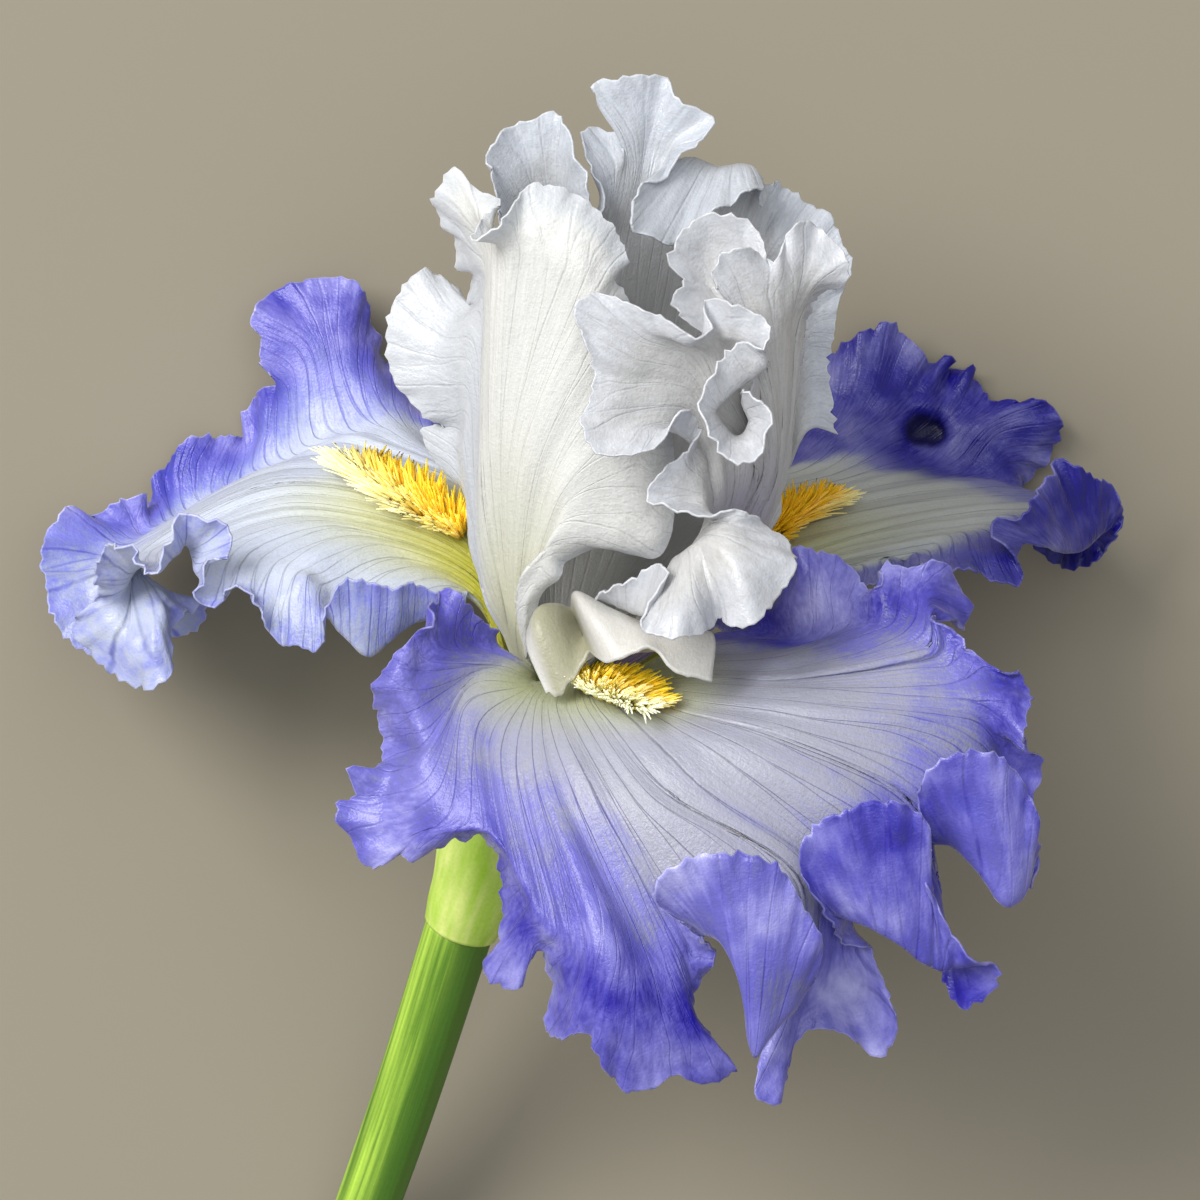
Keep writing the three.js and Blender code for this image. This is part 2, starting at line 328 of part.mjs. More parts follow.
// The front left standard, from its outer edge over the crown to its inner edge.
const standardLeft = {
  root: [
    [0, -12.1, -11.2, 0.1], [22, -11.1, -12.2, 1.8], [47, -10.1, -13.1, 3.5],
  ],
  haft: [
    [0, -13.6, -7.5, 1.5], [12, -14, -3.5, 7.5], [22, -13.5, -2.5, 9.5], [32, -12.5, -3.5, 10.8],
    [47, -10.2, -9.7, 8],
  ],
  mid: [
    [0, -14, -6, 2.2], [6, -17.6, 4, 9.5], [12, -18, 13, 17], [18, -17, 19.5, 22], [24, -15, 23, 25.5],
    [30, -11.5, 22, 28], [36, -5.5, 15, 28.5], [41, -8, 8, 25], [44, -12.6, 1, 18.5],
    [47, -11, -9, 9.3],
  ],
  ribs: [
    [[-14.4, -4.5, 2.4], [-14.7, -3.2, 2.2], [-15, -2, 1.8]],
    [[-16.9, -1, 5], [-17.5, 0.5, 3.8], [-17.8, 1.8, 2.5]],
    [[-18.9, 6, 7.5], [-19.4, 8, 5.8], [-19.2, 9, 4.4]],
    [[-19.9, 12.5, 11], [-19.9, 15, 9], [-20.4, 16.4, 6.6]],
    [[-20.2, 17.5, 13.8], [-21.2, 18.5, 11], [-25, 21, 8]],
    [[-20.2, 21.7, 16], [-21.8, 23, 12], [-27.3, 25.8, 8]],
    [[-20, 25, 17.8], [-21, 26, 13.6], [-24, 26.5, 10]],
    [[-19.5, 28, 19.8], [-22.3, 28.5, 14.6], [-26, 27.6, 12]],
    [[-19.3, 31, 21], [-23.5, 32, 16], [-30.7, 31.7, 13]],
    [[-19, 34, 22.3], [-24, 35.5, 16.5], [-32.6, 37, 13.5]],
    [[-18.6, 37, 23.6], [-24, 39, 16.5], [-31.5, 44.5, 13]],
    [[-17.8, 40, 25], [-22.5, 42, 17], [-27.5, 49.6, 12.5]],
    [[-17.5, 42.5, 26], [-20, 43.5, 18], [-24.5, 49, 12]],
    [[-17.3, 45, 27], [-18.5, 44.5, 20], [-19.5, 44, 15]],
    [[-17.2, 47, 28.5], [-18.5, 47.5, 23], [-19.8, 47.3, 19]],
    [[-17.2, 49, 30], [-20, 52, 27], [-22, 53, 24]],
    [[-17.2, 50.5, 31.5], [-20.5, 55.5, 29.5], [-25.4, 58.8, 27]],
    [[-17, 51.5, 33], [-20, 57, 31.5], [-24, 62, 29]],
    [[-16.7, 52, 34.3], [-19, 57.5, 33], [-21.8, 64.8, 30]],
    [[-16.3, 52.2, 35.5], [-18, 57, 35], [-18.5, 61.5, 33]],
    [[-15.8, 52, 36.5], [-16.5, 56.5, 36.5], [-14.5, 59.3, 35]],
    [[-15, 51.5, 37.5], [-16.2, 54.8, 38.5], [-17, 57.5, 38]],
    [[-14.2, 51, 38.3], [-15.8, 53.2, 40], [-19.5, 53.7, 42]],
    [[-13.2, 51, 39], [-13.8, 53.5, 41], [-15.5, 55, 44]],
    [[-12, 51.3, 39.5], [-12.3, 55.5, 41], [-12.8, 59, 42]],
    [[-10.5, 51.5, 40], [-10.5, 57, 41], [-10.3, 61.9, 41]],
    [[-8.5, 51, 40.3], [-8, 57, 41], [-7, 61.6, 40.5]],
    [[-6.5, 50, 40.5], [-5, 56, 41], [-3, 60.3, 40]],
    [[-4.5, 48.5, 40.5], [-2.3, 54, 41], [0.8, 57.2, 39.5]],
    [[-3, 46.5, 40.2], [-0.3, 51.5, 40.5], [3, 54.5, 39]],
    [[-2, 44, 39.5], [0.8, 49, 39.5], [4.1, 51.3, 38]],
    [[-1.2, 41, 38.5], [1.5, 46, 38.3], [2.9, 48, 36.5]],
    [[-0.5, 37.5, 37.5], [2.5, 42, 37], [5, 43, 35]],
    [[0.5, 34, 36.5], [4, 37.5, 35.5], [7, 38, 33.5]],
    [[1.5, 30, 35.3], [5.5, 32.5, 34], [8.5, 33, 32]],
    [[2.5, 26, 34], [7, 27.5, 32.5], [10, 28, 30.5]],
    [[3.3, 22, 32.5], [8, 22.5, 31], [11, 22.5, 29]],
    [[3.8, 18, 31], [8.3, 17.5, 29.5], [11, 17, 27.5]],
    [[3.5, 14.5, 29.5], [8, 13, 28], [11, 12, 26]],
    [[2.5, 12, 28.5], [7, 9.5, 27], [10, 8, 25]],
    [[0.5, 10.2, 27.5], [4.5, 8, 26], [8, 6.3, 24]],
    [[-2.5, 9, 26.5], [0.5, 8, 25.5], [4, 7, 23.5]],
    [[-5.5, 8, 25.5], [-3, 7.8, 24.5], [0, 7.8, 22.5]],
    [[-8, 6.5, 24], [-6.5, 6.2, 23.5], [-5, 6, 22]],
    [[-9.5, 4, 22], [-7.5, 3.5, 22.5], [-6, 3.3, 22]],
    [[-10.9, 0, 18.8], [-9.7, 0.7, 19], [-8.8, 1, 18.8]],
    [[-11.2, -4, 14.9], [-10.3, -3.4, 15], [-9.5, -3, 15]],
    [[-10.8, -8, 10.4], [-10.6, -7.8, 10.9], [-10.3, -7.5, 11.3]],
  ],
};

// The front right standard: its inner edge cascades over its neighbour in folds.
const standardRight = {
  root: [
    [0, -4, -13.8, 3.5], [42, -2.8, -13.2, 1.8], [85, -1.6, -12.5, 0.1],
  ],
  haft: [
    [0, 1, -9.3, 7], [15, 5.5, -4.5, 6.5], [35, 10, -1.5, 6.5], [55, 11.3, -3.2, 4.8],
    [76, 10, -6.2, 2.8], [85, 5.5, -9.3, 0.6],
  ],
  mid: [
    [0, 4, -5, 9.8], [8, 10.2, 0, 15.5], [18, 14.2, 8, 25.5], [28, 17, 13, 27.5], [40, 21, 17.5, 27],
    [50, 23.5, 18, 25], [70, 25.5, 16.5, 20.5], [78, 25, 12, 14.5], [82, 22.5, 7, 10.5],
    [84, 18, 1, 6.3], [85, 12.5, -5, 2],
  ],
  ribs: [
    [[6.3, -1, 11], [5.8, 0.6, 12.5], [5, 1.8, 14]],
    [[8, 1.2, 14], [3.8, 0.5, 17], [0.8, 1.3, 20]],
    [[9, 2.4, 17.5], [3.2, -0.6, 22], [-0.4, 1.2, 25.5]],
    [[9.9, 3.5, 21], [5, -1.8, 26.5], [4, 3.2, 31]],
    [[10.6, 4.6, 24], [6.8, -2.3, 30.5], [8.5, 5.6, 35]],
    [[11.1, 5.4, 26.5], [8, -1.2, 34.5], [9.5, 4.5, 38]],
    [[11.5, 6, 28.5], [8.8, 0.3, 37], [5.8, -3, 41]],
    [[12, 6.4, 30], [9.5, -0.5, 39.5], [7, -5, 42]],
    [[12.5, 6.8, 31.8], [11.5, -0.5, 41], [10.5, -6.3, 43]],
    [[13.2, 7.4, 33], [13.5, 0, 41], [14.3, -5.5, 42]],
    [[13.8, 7.9, 34], [15.2, 1.5, 39], [17.2, -4.3, 38]],
    [[14.4, 8.3, 34.8], [16.3, 3, 38], [17.7, -2.8, 37]],
    [[15, 8.7, 35.5], [18.5, 3.5, 41], [19.5, -4.4, 41.5]],
    [[15.6, 9.1, 36], [20, 4.5, 42], [23, -3.7, 42.5]],
    [[16.2, 9.5, 36.3], [21.5, 6, 41.5], [26.6, 0.3, 41]],
    [[16.8, 10, 36.3], [22.5, 7.5, 40], [29.2, 4, 39]],
    [[17.2, 10.5, 36], [22.5, 9.3, 38], [28.8, 8.3, 36]],
    [[17.2, 11, 35.5], [21.5, 11, 36.5], [24.5, 11.5, 34]],
    [[17, 11.5, 34.8], [19.5, 12.7, 37], [21, 13.6, 37.5]],
    [[16.5, 12.3, 34], [16, 13, 36.5], [14.5, 12.8, 39]],
    [[16, 13.3, 33.3], [13, 14, 35.5], [8.2, 13.8, 38]],
    [[15.7, 14.5, 32.8], [12, 15.5, 35], [6.9, 16.2, 37.5]],
    [[15.5, 16, 32.5], [12.3, 17.5, 35], [8.7, 19.3, 37]],
    [[15.5, 17.5, 32.3], [13, 19.5, 34.8], [11.8, 21.8, 36.5]],
    [[15.7, 19, 32], [13.8, 21.5, 34.5], [14.2, 24.3, 36.5]],
    [[15.5, 20.5, 32], [13.2, 23.5, 35.5], [14.6, 26.8, 37.5]],
    [[15, 22, 32.3], [11.5, 25, 37], [12.3, 28.6, 40]],
    [[14.5, 23.5, 32.8], [9, 25.5, 38], [8, 22.7, 41.5]],
    [[14.2, 25, 33.3], [6.5, 25.5, 38.8], [3.5, 21, 42]],
    [[14, 26.5, 34], [4.3, 26.5, 39], [-1.3, 21.8, 41.5]],
    [[14, 28, 34.5], [3, 28, 39.3], [-3.3, 26, 41]],
    [[14, 29.5, 35], [3, 30.5, 39.8], [-1.8, 29.5, 41]],
    [[14, 31, 35.5], [3.3, 33, 40.3], [-1.3, 34, 41.5]],
    [[14.2, 32.5, 36], [4, 36, 41], [-3.3, 40, 42]],
    [[14.4, 33.7, 36.5], [4.8, 38.5, 41.5], [-4.4, 43.6, 42.5]],
    [[14.8, 34.8, 37], [6, 39.5, 42], [-0.8, 45.3, 43]],
    [[15.3, 35.5, 37.3], [8, 39.5, 42.3], [4.5, 43.8, 43.5]],
    [[15.8, 36, 37.5], [10.5, 38.5, 42.3], [9.8, 41.4, 44]],
    [[16.4, 36.3, 37.6], [13, 37.8, 42], [14.3, 39.4, 44]],
    [[17, 36.6, 37.6], [15, 38.3, 41], [16.8, 40.3, 42.5]],
    [[17.6, 37, 37.5], [16.8, 40, 40], [15.8, 44.8, 41]],
    [[18.2, 37.2, 37.3], [19, 39.5, 41], [19.5, 44.3, 43]],
    [[18.7, 37, 37], [21.5, 38.5, 42], [24.3, 42, 44]],
    [[19.2, 36.5, 36.5], [23, 37, 41.5], [25.5, 39.2, 44]],
    [[19.6, 35.5, 36], [24, 36, 41.5], [24, 37.4, 44]],
    [[20, 34, 35.5], [24.2, 34.2, 41], [20.5, 38.3, 43.7]],
    [[18.9, 31.6, 36.6], [18.6, 30.6, 41], [16.6, 35, 44.3]],
    [[17.5, 29.8, 36.9], [17.2, 29, 41.2], [15.3, 31.4, 44.8]],
    [[17, 27.7, 37], [16.8, 27.2, 41.2], [14.9, 27.2, 45.2]],
    [[18.2, 25.4, 37], [17.9, 25, 41.2], [16, 23.4, 45.5]],
    [[20.1, 23.7, 36.8], [19.9, 23.2, 41.2], [20.3, 19.9, 45.8]],
    [[21.8, 24.4, 36.6], [22.1, 24.1, 41], [24, 21.7, 45.5]],
    [[22.6, 26.1, 36.2], [23, 26.2, 40.7], [25.5, 26.5, 45]],
    [[22.2, 27.9, 35.4], [22.2, 28.2, 40], [24.6, 29.8, 44.5]],
    [[22.2, 28.7, 34.2], [21.2, 29.4, 38.5], [21, 31.1, 43]],
    [[23.3, 28.9, 32.2], [22.8, 29.8, 34], [21.9, 30.2, 36.5]],
    [[23.6, 29.9, 31.9], [23.6, 33.5, 33], [22.8, 36.5, 34.2]],
    [[23.72, 30.41, 31.95], [21.6, 35.5, 31.6], [18.2, 38.6, 31.2]],
    [[23.83, 30.92, 31.99], [19.4, 38.6, 30], [13.2, 41.2, 30.8]],
    [[23.95, 31.42, 32.04], [17.6, 42.4, 28.8], [10.2, 44.6, 30.6]],
    [[24.07, 31.93, 32.08], [17, 45.4, 28], [12.4, 48, 30.2]],
    [[24.18, 32.44, 32.13], [16.8, 47.8, 27.6], [9.8, 51.4, 29.8]],
    [[24.3, 32.95, 32.17], [18, 50, 27.5], [12.2, 55.6, 29]],
    [[24.42, 33.46, 32.22], [20, 51.2, 27.6], [17, 58.3, 28.4]],
    [[24.53, 33.97, 32.27], [22, 50.8, 28.2], [22.4, 56.8, 28.6]],
    [[24.65, 34.48, 32.31], [23.2, 48.4, 30], [25, 51.4, 30.4]],
    [[24.77, 34.98, 32.36], [22.8, 44.6, 32.8], [21.6, 47, 34]],
    [[24.88, 35.49, 32.4], [21, 42, 35.5], [17, 46.5, 38.2]],
    [[25.1, 37, 32.6], [21.5, 45.5, 36.5], [17.6, 51.3, 39]],
    [[25.6, 38.7, 32.7], [23.2, 46.8, 37], [21.3, 52.7, 38.3]],
    [[26.3, 40, 32.6], [26, 47.3, 36.3], [25.6, 50.9, 36.3]],
    [[27.3, 41.2, 32], [28.5, 48, 35], [28.6, 56, 35]],
    [[27.8, 41.5, 31.3], [30, 48.5, 34], [31.5, 56.4, 33]],
    [[28.2, 41.5, 30.5], [31.5, 48.5, 33.5], [34.8, 54, 33]],
    [[28.5, 41, 29.7], [32.2, 47.5, 33], [37.3, 50.2, 33.5]],
    [[28.8, 40, 28.8], [31.8, 46, 31.5], [36.4, 46.4, 32]],
    [[29, 38.5, 27.8], [30.8, 44, 29], [32.6, 44.8, 27]],
    [[29.2, 36.5, 26.5], [30, 41.5, 26], [31, 41.5, 22]],
    [[29.3, 34, 25], [29.7, 38, 23], [30, 38, 18.5]],
    [[29.3, 31, 23], [29.5, 33.5, 20], [29.5, 33, 15]],
    [[29, 27, 20.5], [29, 28.5, 17], [28.7, 27.5, 12.5]],
    [[28.3, 22.5, 18], [28, 23, 14.5], [27.5, 21.5, 11]],
    [[27.6, 17, 13.5], [27, 16.3, 11.5], [26.3, 15.5, 9.5]],
    [[25.8, 10.5, 10.3], [25.2, 9.6, 8.6], [24.4, 8.6, 7]],
    [[22.3, 4.5, 7], [21.8, 3.8, 5.6], [21.2, 3, 4.4]],
    [[16, -1.5, 3.6], [15.8, -2, 2.9], [15.6, -2.4, 2.2]],
  ],
};

// The back standard, from its left edge over the crown to its right edge.
const standardBack = {
  root: [
    [0, -8.7, -9.4, -4.7], [21, -6.5, -9.7, -4.7], [42, -4.3, -10, -4.7],
  ],
  haft: [
    [0, -11, 2, -7], [15, -6, 4, -11], [30, 3, 5, -11.5], [42, 8, 2.5, -6.5],
  ],
  mid: [
    [0, -14, 18, -4], [10, -10, 22, -9], [20, 0, 24, -12], [30, 12, 25, -11], [38, 22, 23, -6],
    [42, 25.5, 16, -1],
  ],
  ribs: [
    [[-13, 28, 0], [-13.5, 31, 3], [-14, 33, 6]],
    [[-13, 36, 3], [-13.5, 41, 7], [-14, 44, 10]],
    [[-12.5, 44, 6], [-13.5, 51, 11], [-14.5, 55, 14]],
    [[-12, 50, 8], [-14, 58.5, 14], [-16.5, 63.5, 18]],
    [[-11, 53, 9], [-13.5, 62, 15], [-17.7, 67, 18]],
    [[-10, 55, 9.5], [-11.5, 64, 15.5], [-14.5, 71, 18]],
    [[-8.8, 56, 10], [-9.5, 65, 15.5], [-10.8, 72.3, 17]],
    [[-7.5, 56.5, 10.5], [-7.5, 65, 15.5], [-6.9, 73.9, 17]],
    [[-6.3, 56.5, 11], [-5.7, 64, 16], [-5, 71, 18.5]],
    [[-5.2, 56, 11.5], [-4.5, 62.5, 17], [-3.2, 65.8, 21]],
    [[-4.2, 55.3, 12], [-3.3, 60, 17.5], [-2.1, 60.5, 21]],
    [[-3.2, 54.5, 12.3], [-1.8, 57.5, 17], [-0.8, 57.5, 19]],
    [[-2.2, 54, 12.3], [0, 59, 16.5], [0.7, 61.5, 18]],
    [[-1.2, 54, 12], [0.8, 62, 15.5], [-2.7, 69, 17]],
    [[-0.3, 54, 11.8], [2, 64, 15], [-1, 71.7, 15]],
    [[0.6, 54, 11.5], [3.3, 66, 14.5], [3.8, 70.2, 13]],
    [[1.5, 54, 11.2], [4, 66.5, 14], [0, 75, 15]],
    [[2.5, 54, 11], [5, 68, 13.5], [-1.4, 78, 16]],
    [[3.5, 54, 10.8], [6, 69, 13], [3.5, 79, 15.5]],
    [[4.6, 54, 10.6], [7, 69, 12.5], [9.3, 79.4, 14]],
    [[5.8, 54, 10.4], [8.5, 68, 12.5], [12.5, 75.5, 15]],
    [[7, 54, 10.2], [10.4, 67.6, 13], [17.2, 72.5, 16]],
    [[8.3, 54, 10], [10.2, 66.4, 13.4], [14.8, 69.4, 17]],
    [[9.7, 54, 9.8], [10.6, 65.4, 13.2], [10, 64.8, 18.8]],
    [[11, 54, 9.5], [12.2, 66.1, 12.2], [5.8, 61.2, 23.6]],
    [[12, 54, 9.2], [13.6, 66.6, 11.7], [3.8, 56, 26]],
    [[13, 54, 9], [15, 66.2, 11.4], [7.2, 53.8, 25.6]],
    [[14, 54, 8.8], [16.3, 65.6, 11.2], [10.6, 52.9, 24.6]],
    [[15, 54, 8.6], [17.7, 65.2, 11], [14, 56.6, 22.6]],
    [[16.2, 53.7, 8.3], [19.2, 65.4, 10.6], [18, 58.4, 20.6]],
    [[17.4, 53.3, 8], [20.8, 65.6, 10], [22.2, 60.4, 18.4]],
    [[18.6, 52.8, 7.5], [22.3, 65.3, 9.2], [25.2, 62.2, 15]],
    [[19.8, 52.2, 7], [23.6, 64.3, 8.3], [25, 59.4, 12.5]],
    [[21, 51.3, 6.5], [24.6, 62.3, 7], [26, 63.6, 7]],
    [[22.5, 50, 6], [25.8, 59.5, 6.8], [27.5, 63.6, 6]],
    [[24, 48.5, 5.5], [27, 54.5, 8], [31, 60.7, 5]],
    [[25.5, 46.5, 5], [29.5, 52, 8], [34.7, 59, 7]],
    [[27, 44, 5], [31.5, 49.5, 8], [36.9, 54.5, 8]],
    [[28.2, 41, 5], [32.5, 46.5, 8], [38.6, 50.5, 8]],
    [[29, 38, 5.5], [32.5, 43, 8], [36.3, 45, 8]],
    [[29.5, 34.5, 6], [32, 39, 8], [35.2, 39, 7]],
    [[29.8, 31, 6.5], [32, 34.5, 8], [35, 35, 7.5]],
    [[30, 24, 7.5], [32.5, 26, 8], [36.2, 25, 7]],
  ],
};

// The front style arm in rows from root to tip, each from its left flap, down into the hollow beside
// it, and over the ridge to its crest.
const styleFront = [
  [[-8.9, -12.6, 2.4], [-8.3, -12.6, 2.4], [-7.7, -12.6, 2.4], [-7, -12.6, 2.4], [-6.3, -12.6, 2.4],
    [-5.8, -12.6, 2.4], [-5.4, -12.6, 2.4], [-5.1, -12.6, 2.4], [-4.9, -12.6, 2.4]],
  [[-8.8, -8.5, 9.5], [-7.5, -5.5, 9.5], [-6, -4, 10], [-4.5, -3.5, 10.5], [-3, -4.5, 10.5],
    [-1.5, -6, 10.5], [-0.8, -7.2, 10.3], [-0.6, -8, 10.1], [-0.5, -8.5, 10]],
  [[-10, -3.5, 18], [-8.6, -1.2, 18.5], [-6.4, -0.8, 18.2], [-4.2, -1.4, 17], [-3.6, 1, 20.4],
    [1, -1.7, 20.4], [4.8, -3.7, 20.4], [8, -6, 20], [9, -7.5, 19.5]],
  [[-10.8, -7, 22], [-9.4, -3.6, 23.5], [-6.4, -3.4, 22.6], [-2.6, -4.6, 18.4], [-2.4, -1.8, 27.5],
    [2.6, -2.7, 28.5], [6.8, -4.1, 28.7], [12, -4.6, 28.5], [16.6, -5, 28]],
  [[-8, -14, 24], [-6, -14.5, 24.8], [-4, -11.9, 25.2], [-1.4, -8.2, 25.2], [1, -9.4, 31],
    [4.6, -8.2, 32.6], [7.6, -7.2, 33], [11.4, -10.8, 33.4], [16.6, -12.2, 31.8]],
];
// A side style arm as [out, up, sideways] from the heart, rows from root to tip.
const styleSide = [
  [[2.3, 1.8, -1.6], [2.5, 1.9, -0.8], [2.6, 2, 0], [2.5, 1.9, 0.8], [2.3, 1.8, 1.6]],
  [[4.4, 3.8, -1.9], [4.8, 4.8, -1], [5, 5.2, 0], [4.8, 4.8, 1], [4.4, 3.8, 1.9]],
  [[7, 6.4, -2.5], [7.6, 7.8, -1.3], [7.8, 8.3, 0], [7.6, 7.8, 1.3], [7, 6.4, 2.5]],
  [[9.6, 8.4, -3], [10.2, 10, -1.6], [10.5, 10.6, 0], [10.2, 10, 1.6], [9.6, 8.4, 3]],
  [[11, 11, -2.8], [12, 11.4, -1.5], [12.8, 11, 0], [12, 11.4, 1.5], [11, 11, 2.8]],
];
// Beards: name, fall, path in the fall's own across and along, half width, half height, lift off the
// blade, hairs and hair length.
const beards = (front, left, right) => [
  ['beard_front', front, [[0.455, 0.12], [0.514, 0.142], [0.562, 0.158], [0.593, 0.182], [0.608, 0.205]],
    3.2, 1.1, 1.8, 44, 4.8],
  ['beard_left', left, [[0.469, 0.2], [0.477, 0.25], [0.541, 0.29], [0.643, 0.325], [0.698, 0.355]],
    1.9, 0.9, 1.7, 44, 3.8],
  ['beard_right', right, [[0.44, 0.235], [0.5, 0.275], [0.56, 0.302], [0.6, 0.33], [0.62, 0.355]],
    1.9, 0.9, 1.7, 40, 3.6],
];

const vec = (a) => new THREE.Vector3(a[0], a[1], a[2]);

// ---- smooth rows: hermite curves whose slopes are held back so that no wave overshoots
function slopes(t, p) {
  return p.map((_, i) => {
    const a = Math.max(i - 1, 0), b = Math.min(i + 1, p.length - 1);
    const m = p[b].clone().sub(p[a]).divideScalar(t[b] - t[a]);
    const near = [];
    if (i > 0) near.push(p[i].distanceTo(p[i - 1]) / (t[i] - t[i - 1]));
    if (i < p.length - 1) near.push(p[i].distanceTo(p[i + 1]) / (t[i + 1] - t[i]));
    const cap = SLOPE_CAP * Math.min(...near);
    if (m.length() > cap && m.length() > 0) m.setLength(cap);
    return m;
  });
}
function hermite(t, p, m, x) {
  let i = 0;
  while (i < t.length - 2 && x > t[i + 1]) i += 1;
  const h = t[i + 1] - t[i], s = Math.min(Math.max((x - t[i]) / h, 0), 1);
  return new THREE.Vector3()
    .addScaledVector(p[i], 2 * s ** 3 - 3 * s * s + 1).addScaledVector(m[i], h * (s ** 3 - 2 * s * s + s))
    .addScaledVector(p[i + 1], 3 * s * s - 2 * s ** 3).addScaledVector(m[i + 1], h * (s ** 3 - s * s));
}
function surface(net) {
  const last = net.ribs.length - 1, rows = [], v = [];
  for (const name of Object.keys(ROW_V).filter((n) => net[n])) {
    v.push(ROW_V[name]);
    rows.push([net[name].map((q) => q[0]), net[name].map((q) => vec(q.slice(1)))]);
  }
  RIB_V.forEach((value, j) => {
    v.push(value);
    rows.push([net.ribs.map((_, i) => i), net.ribs.map((rib) => vec(rib[j]))]);
  });
  rows.forEach((r) => r.push(slopes(r[0], r[1])));
  return (u, w) => {
    const k = Math.min(Math.max(u, 0), 1) * last;
    const pts = rows.map(([t, p, m]) => hermite(t, p, m, k));
    return hermite(v, pts, slopes(v, pts), Math.min(Math.max(w, 0), 1));
  };
}
function normalAt(S, u, v) {
  const e = 0.004;
  const du = S(Math.min(u + e, 1), v).sub(S(Math.max(u - e, 0), v));
  const dv = S(u, Math.min(v + e, 1)).sub(S(u, Math.max(v - e, 0)));
  return du.cross(dv).normalize();
}

// ---- solids
function closed(points, faces) {
  const g = new THREE.BufferGeometry();
  g.setAttribute('position', new THREE.Float32BufferAttribute(points.flatMap((p) => [p.x, p.y, p.z]), 3));
  g.setIndex(faces.flat());
  return g;
}
// A round or oval stem along a list of rings.
function loft(rings) {
  const pts = [], faces = [], n = rings[0].length, last = (rings.length - 1) * n;
  rings.forEach((r) => pts.push(...r));
  for (let j = 0; j < rings.length - 1; j += 1) {
    for (let i = 0; i < n; i += 1) {
      const a = j * n + i, b = j * n + ((i + 1) % n);
      faces.push([a, b, b + n], [a, b + n, a + n]);
    }
  }
  for (let i = 1; i < n - 1; i += 1) faces.push([0, i + 1, i], [last, last + i, last + i + 1]);
  return closed(pts, faces);
}
function ring(centre, along, side, half, high, n) {
  const a = along.clone().normalize();
  const s = side.clone().addScaledVector(a, -side.dot(a)).normalize(), t = a.clone().cross(s);
  return Array.from({ length: n }, (_, i) => {
    const q = (2 * Math.PI * i) / n;
    return centre.clone().addScaledVector(s, half * Math.cos(q)).addScaledVector(t, high * Math.sin(q));
  });
}

const wasm = await Module();
wasm.setup();
function solid(geometry) {
  const g = geometry.clone();
  g.deleteAttribute('normal');
  g.deleteAttribute('uv');
  const m = mergeVertices(g, 1e-5);
  return new wasm.Manifold(new wasm.Mesh({
    numProp: 3, vertProperties: m.attributes.position.array, triVerts: Uint32Array.from(m.index.array),
  }));
}
function geometryOf(manifold) {
  const m = manifold.getMesh(), g = new THREE.BufferGeometry();
  g.setAttribute('position', new THREE.Float32BufferAttribute(m.vertProperties, 3));
  g.setIndex(Array.from(m.triVerts));
  return g;
}
// A sheet of the given thickness, rows holding [v, steps across at that height]. It is built up from
// small three-sided blocks, both faces split alike, and joined, so a tight fold runs into itself cleanly.
function sheet(S, rows, thick) {
  const front = [], back = [], tri = [], start = [];
  rows.forEach(([v, count]) => {
    start.push(front.length);
    for (let i = 0; i <= count; i += 1) {
      const u = i / count, p = S(u, v), n = normalAt(S, u, v);
      front.push(p.clone().addScaledVector(n, thick / 2));
      back.push(p.clone().addScaledVector(n, -thick / 2));
    }
  });
  for (let j = 0; j < rows.length - 1; j += 1) {
    const na = rows[j][1], nb = rows[j + 1][1];
    let a = 0, b = 0;
    while (a < na || b < nb) {
      if (b === nb || (a < na && a / na + (a + 1) / na <= b / nb + (b + 1) / nb + 1e-9)) {
        tri.push([start[j] + a, start[j] + a + 1, start[j + 1] + b]);
        a += 1;
      } else {
        tri.push([start[j] + a, start[j + 1] + b + 1, start[j + 1] + b]);
        b += 1;
      }
    }
  }
  const N = front.length, points = front.concat(back);
  const side = (a, b) => (a < b ? [[a, b, b + N], [a, b + N, a + N]] : [[a, b, a + N], [b, b + N, a + N]]);
  const blocks = [];
  tri.forEach((corners) => {
    const low = corners.indexOf(Math.min(...corners));
    const [a, b, c] = [corners[low], corners[(low + 1) % 3], corners[(low + 2) % 3]];
    const wedges = b < c ? [[a, c, b, c + N], [a, b, b + N, c + N], [a, b + N, a + N, c + N]]
      : [[a, c, b, b + N], [a, c, b + N, c + N], [a, b + N, a + N, c + N]];
    const size = wedges.map(([p, q, r, s]) => points[q].clone().sub(points[p])
      .cross(points[r].clone().sub(points[p])).dot(points[s].clone().sub(points[p])) / 6);
    if (Math.min(...size) > 1e-4) {
      blocks.push(solid(closed(points, [[a, b, c], [c + N, b + N, a + N],
        ...side(b, a), ...side(c, b), ...side(a, c)])));
    } else {          // where the fold is tighter than the blade is thick, its wedges go in one by one
      wedges.forEach(([p, q, r, s], i) => {
        if (Math.abs(size[i]) < 1e-4) return;
        const [m, n] = size[i] > 0 ? [q, r] : [r, q];
        blocks.push(solid(closed(points, [[p, n, m], [p, m, s], [m, n, s], [p, s, n]])));
      });
    }
  });
  const joined = wasm.Manifold.union(blocks).decompose();
  return geometryOf(joined.sort((p, q) => q.volume() - p.volume())[0]);
}
function seeded(seed) {
  let a = seed;
  return () => {
    a = (a * 1664525 + 1013904223) % 4294967296;
    return a / 4294967296;
  };
}

const iris = new THREE.Group();
const flower = new THREE.Group();
flower.position.set(...SHIFT);
iris.add(flower);
function add(name, geometry, color, roughness) {
  const mesh = new THREE.Mesh(geometry, new THREE.MeshStandardMaterial({ color, roughness, metalness: 0 }));
  mesh.name = name;
  flower.add(mesh);
}
// What touches the table is cut to a small flat spot.
const flatFoot = (geometry) => geometryOf(solid(geometry).trimByPlane([0, 0, 1], TABLE));

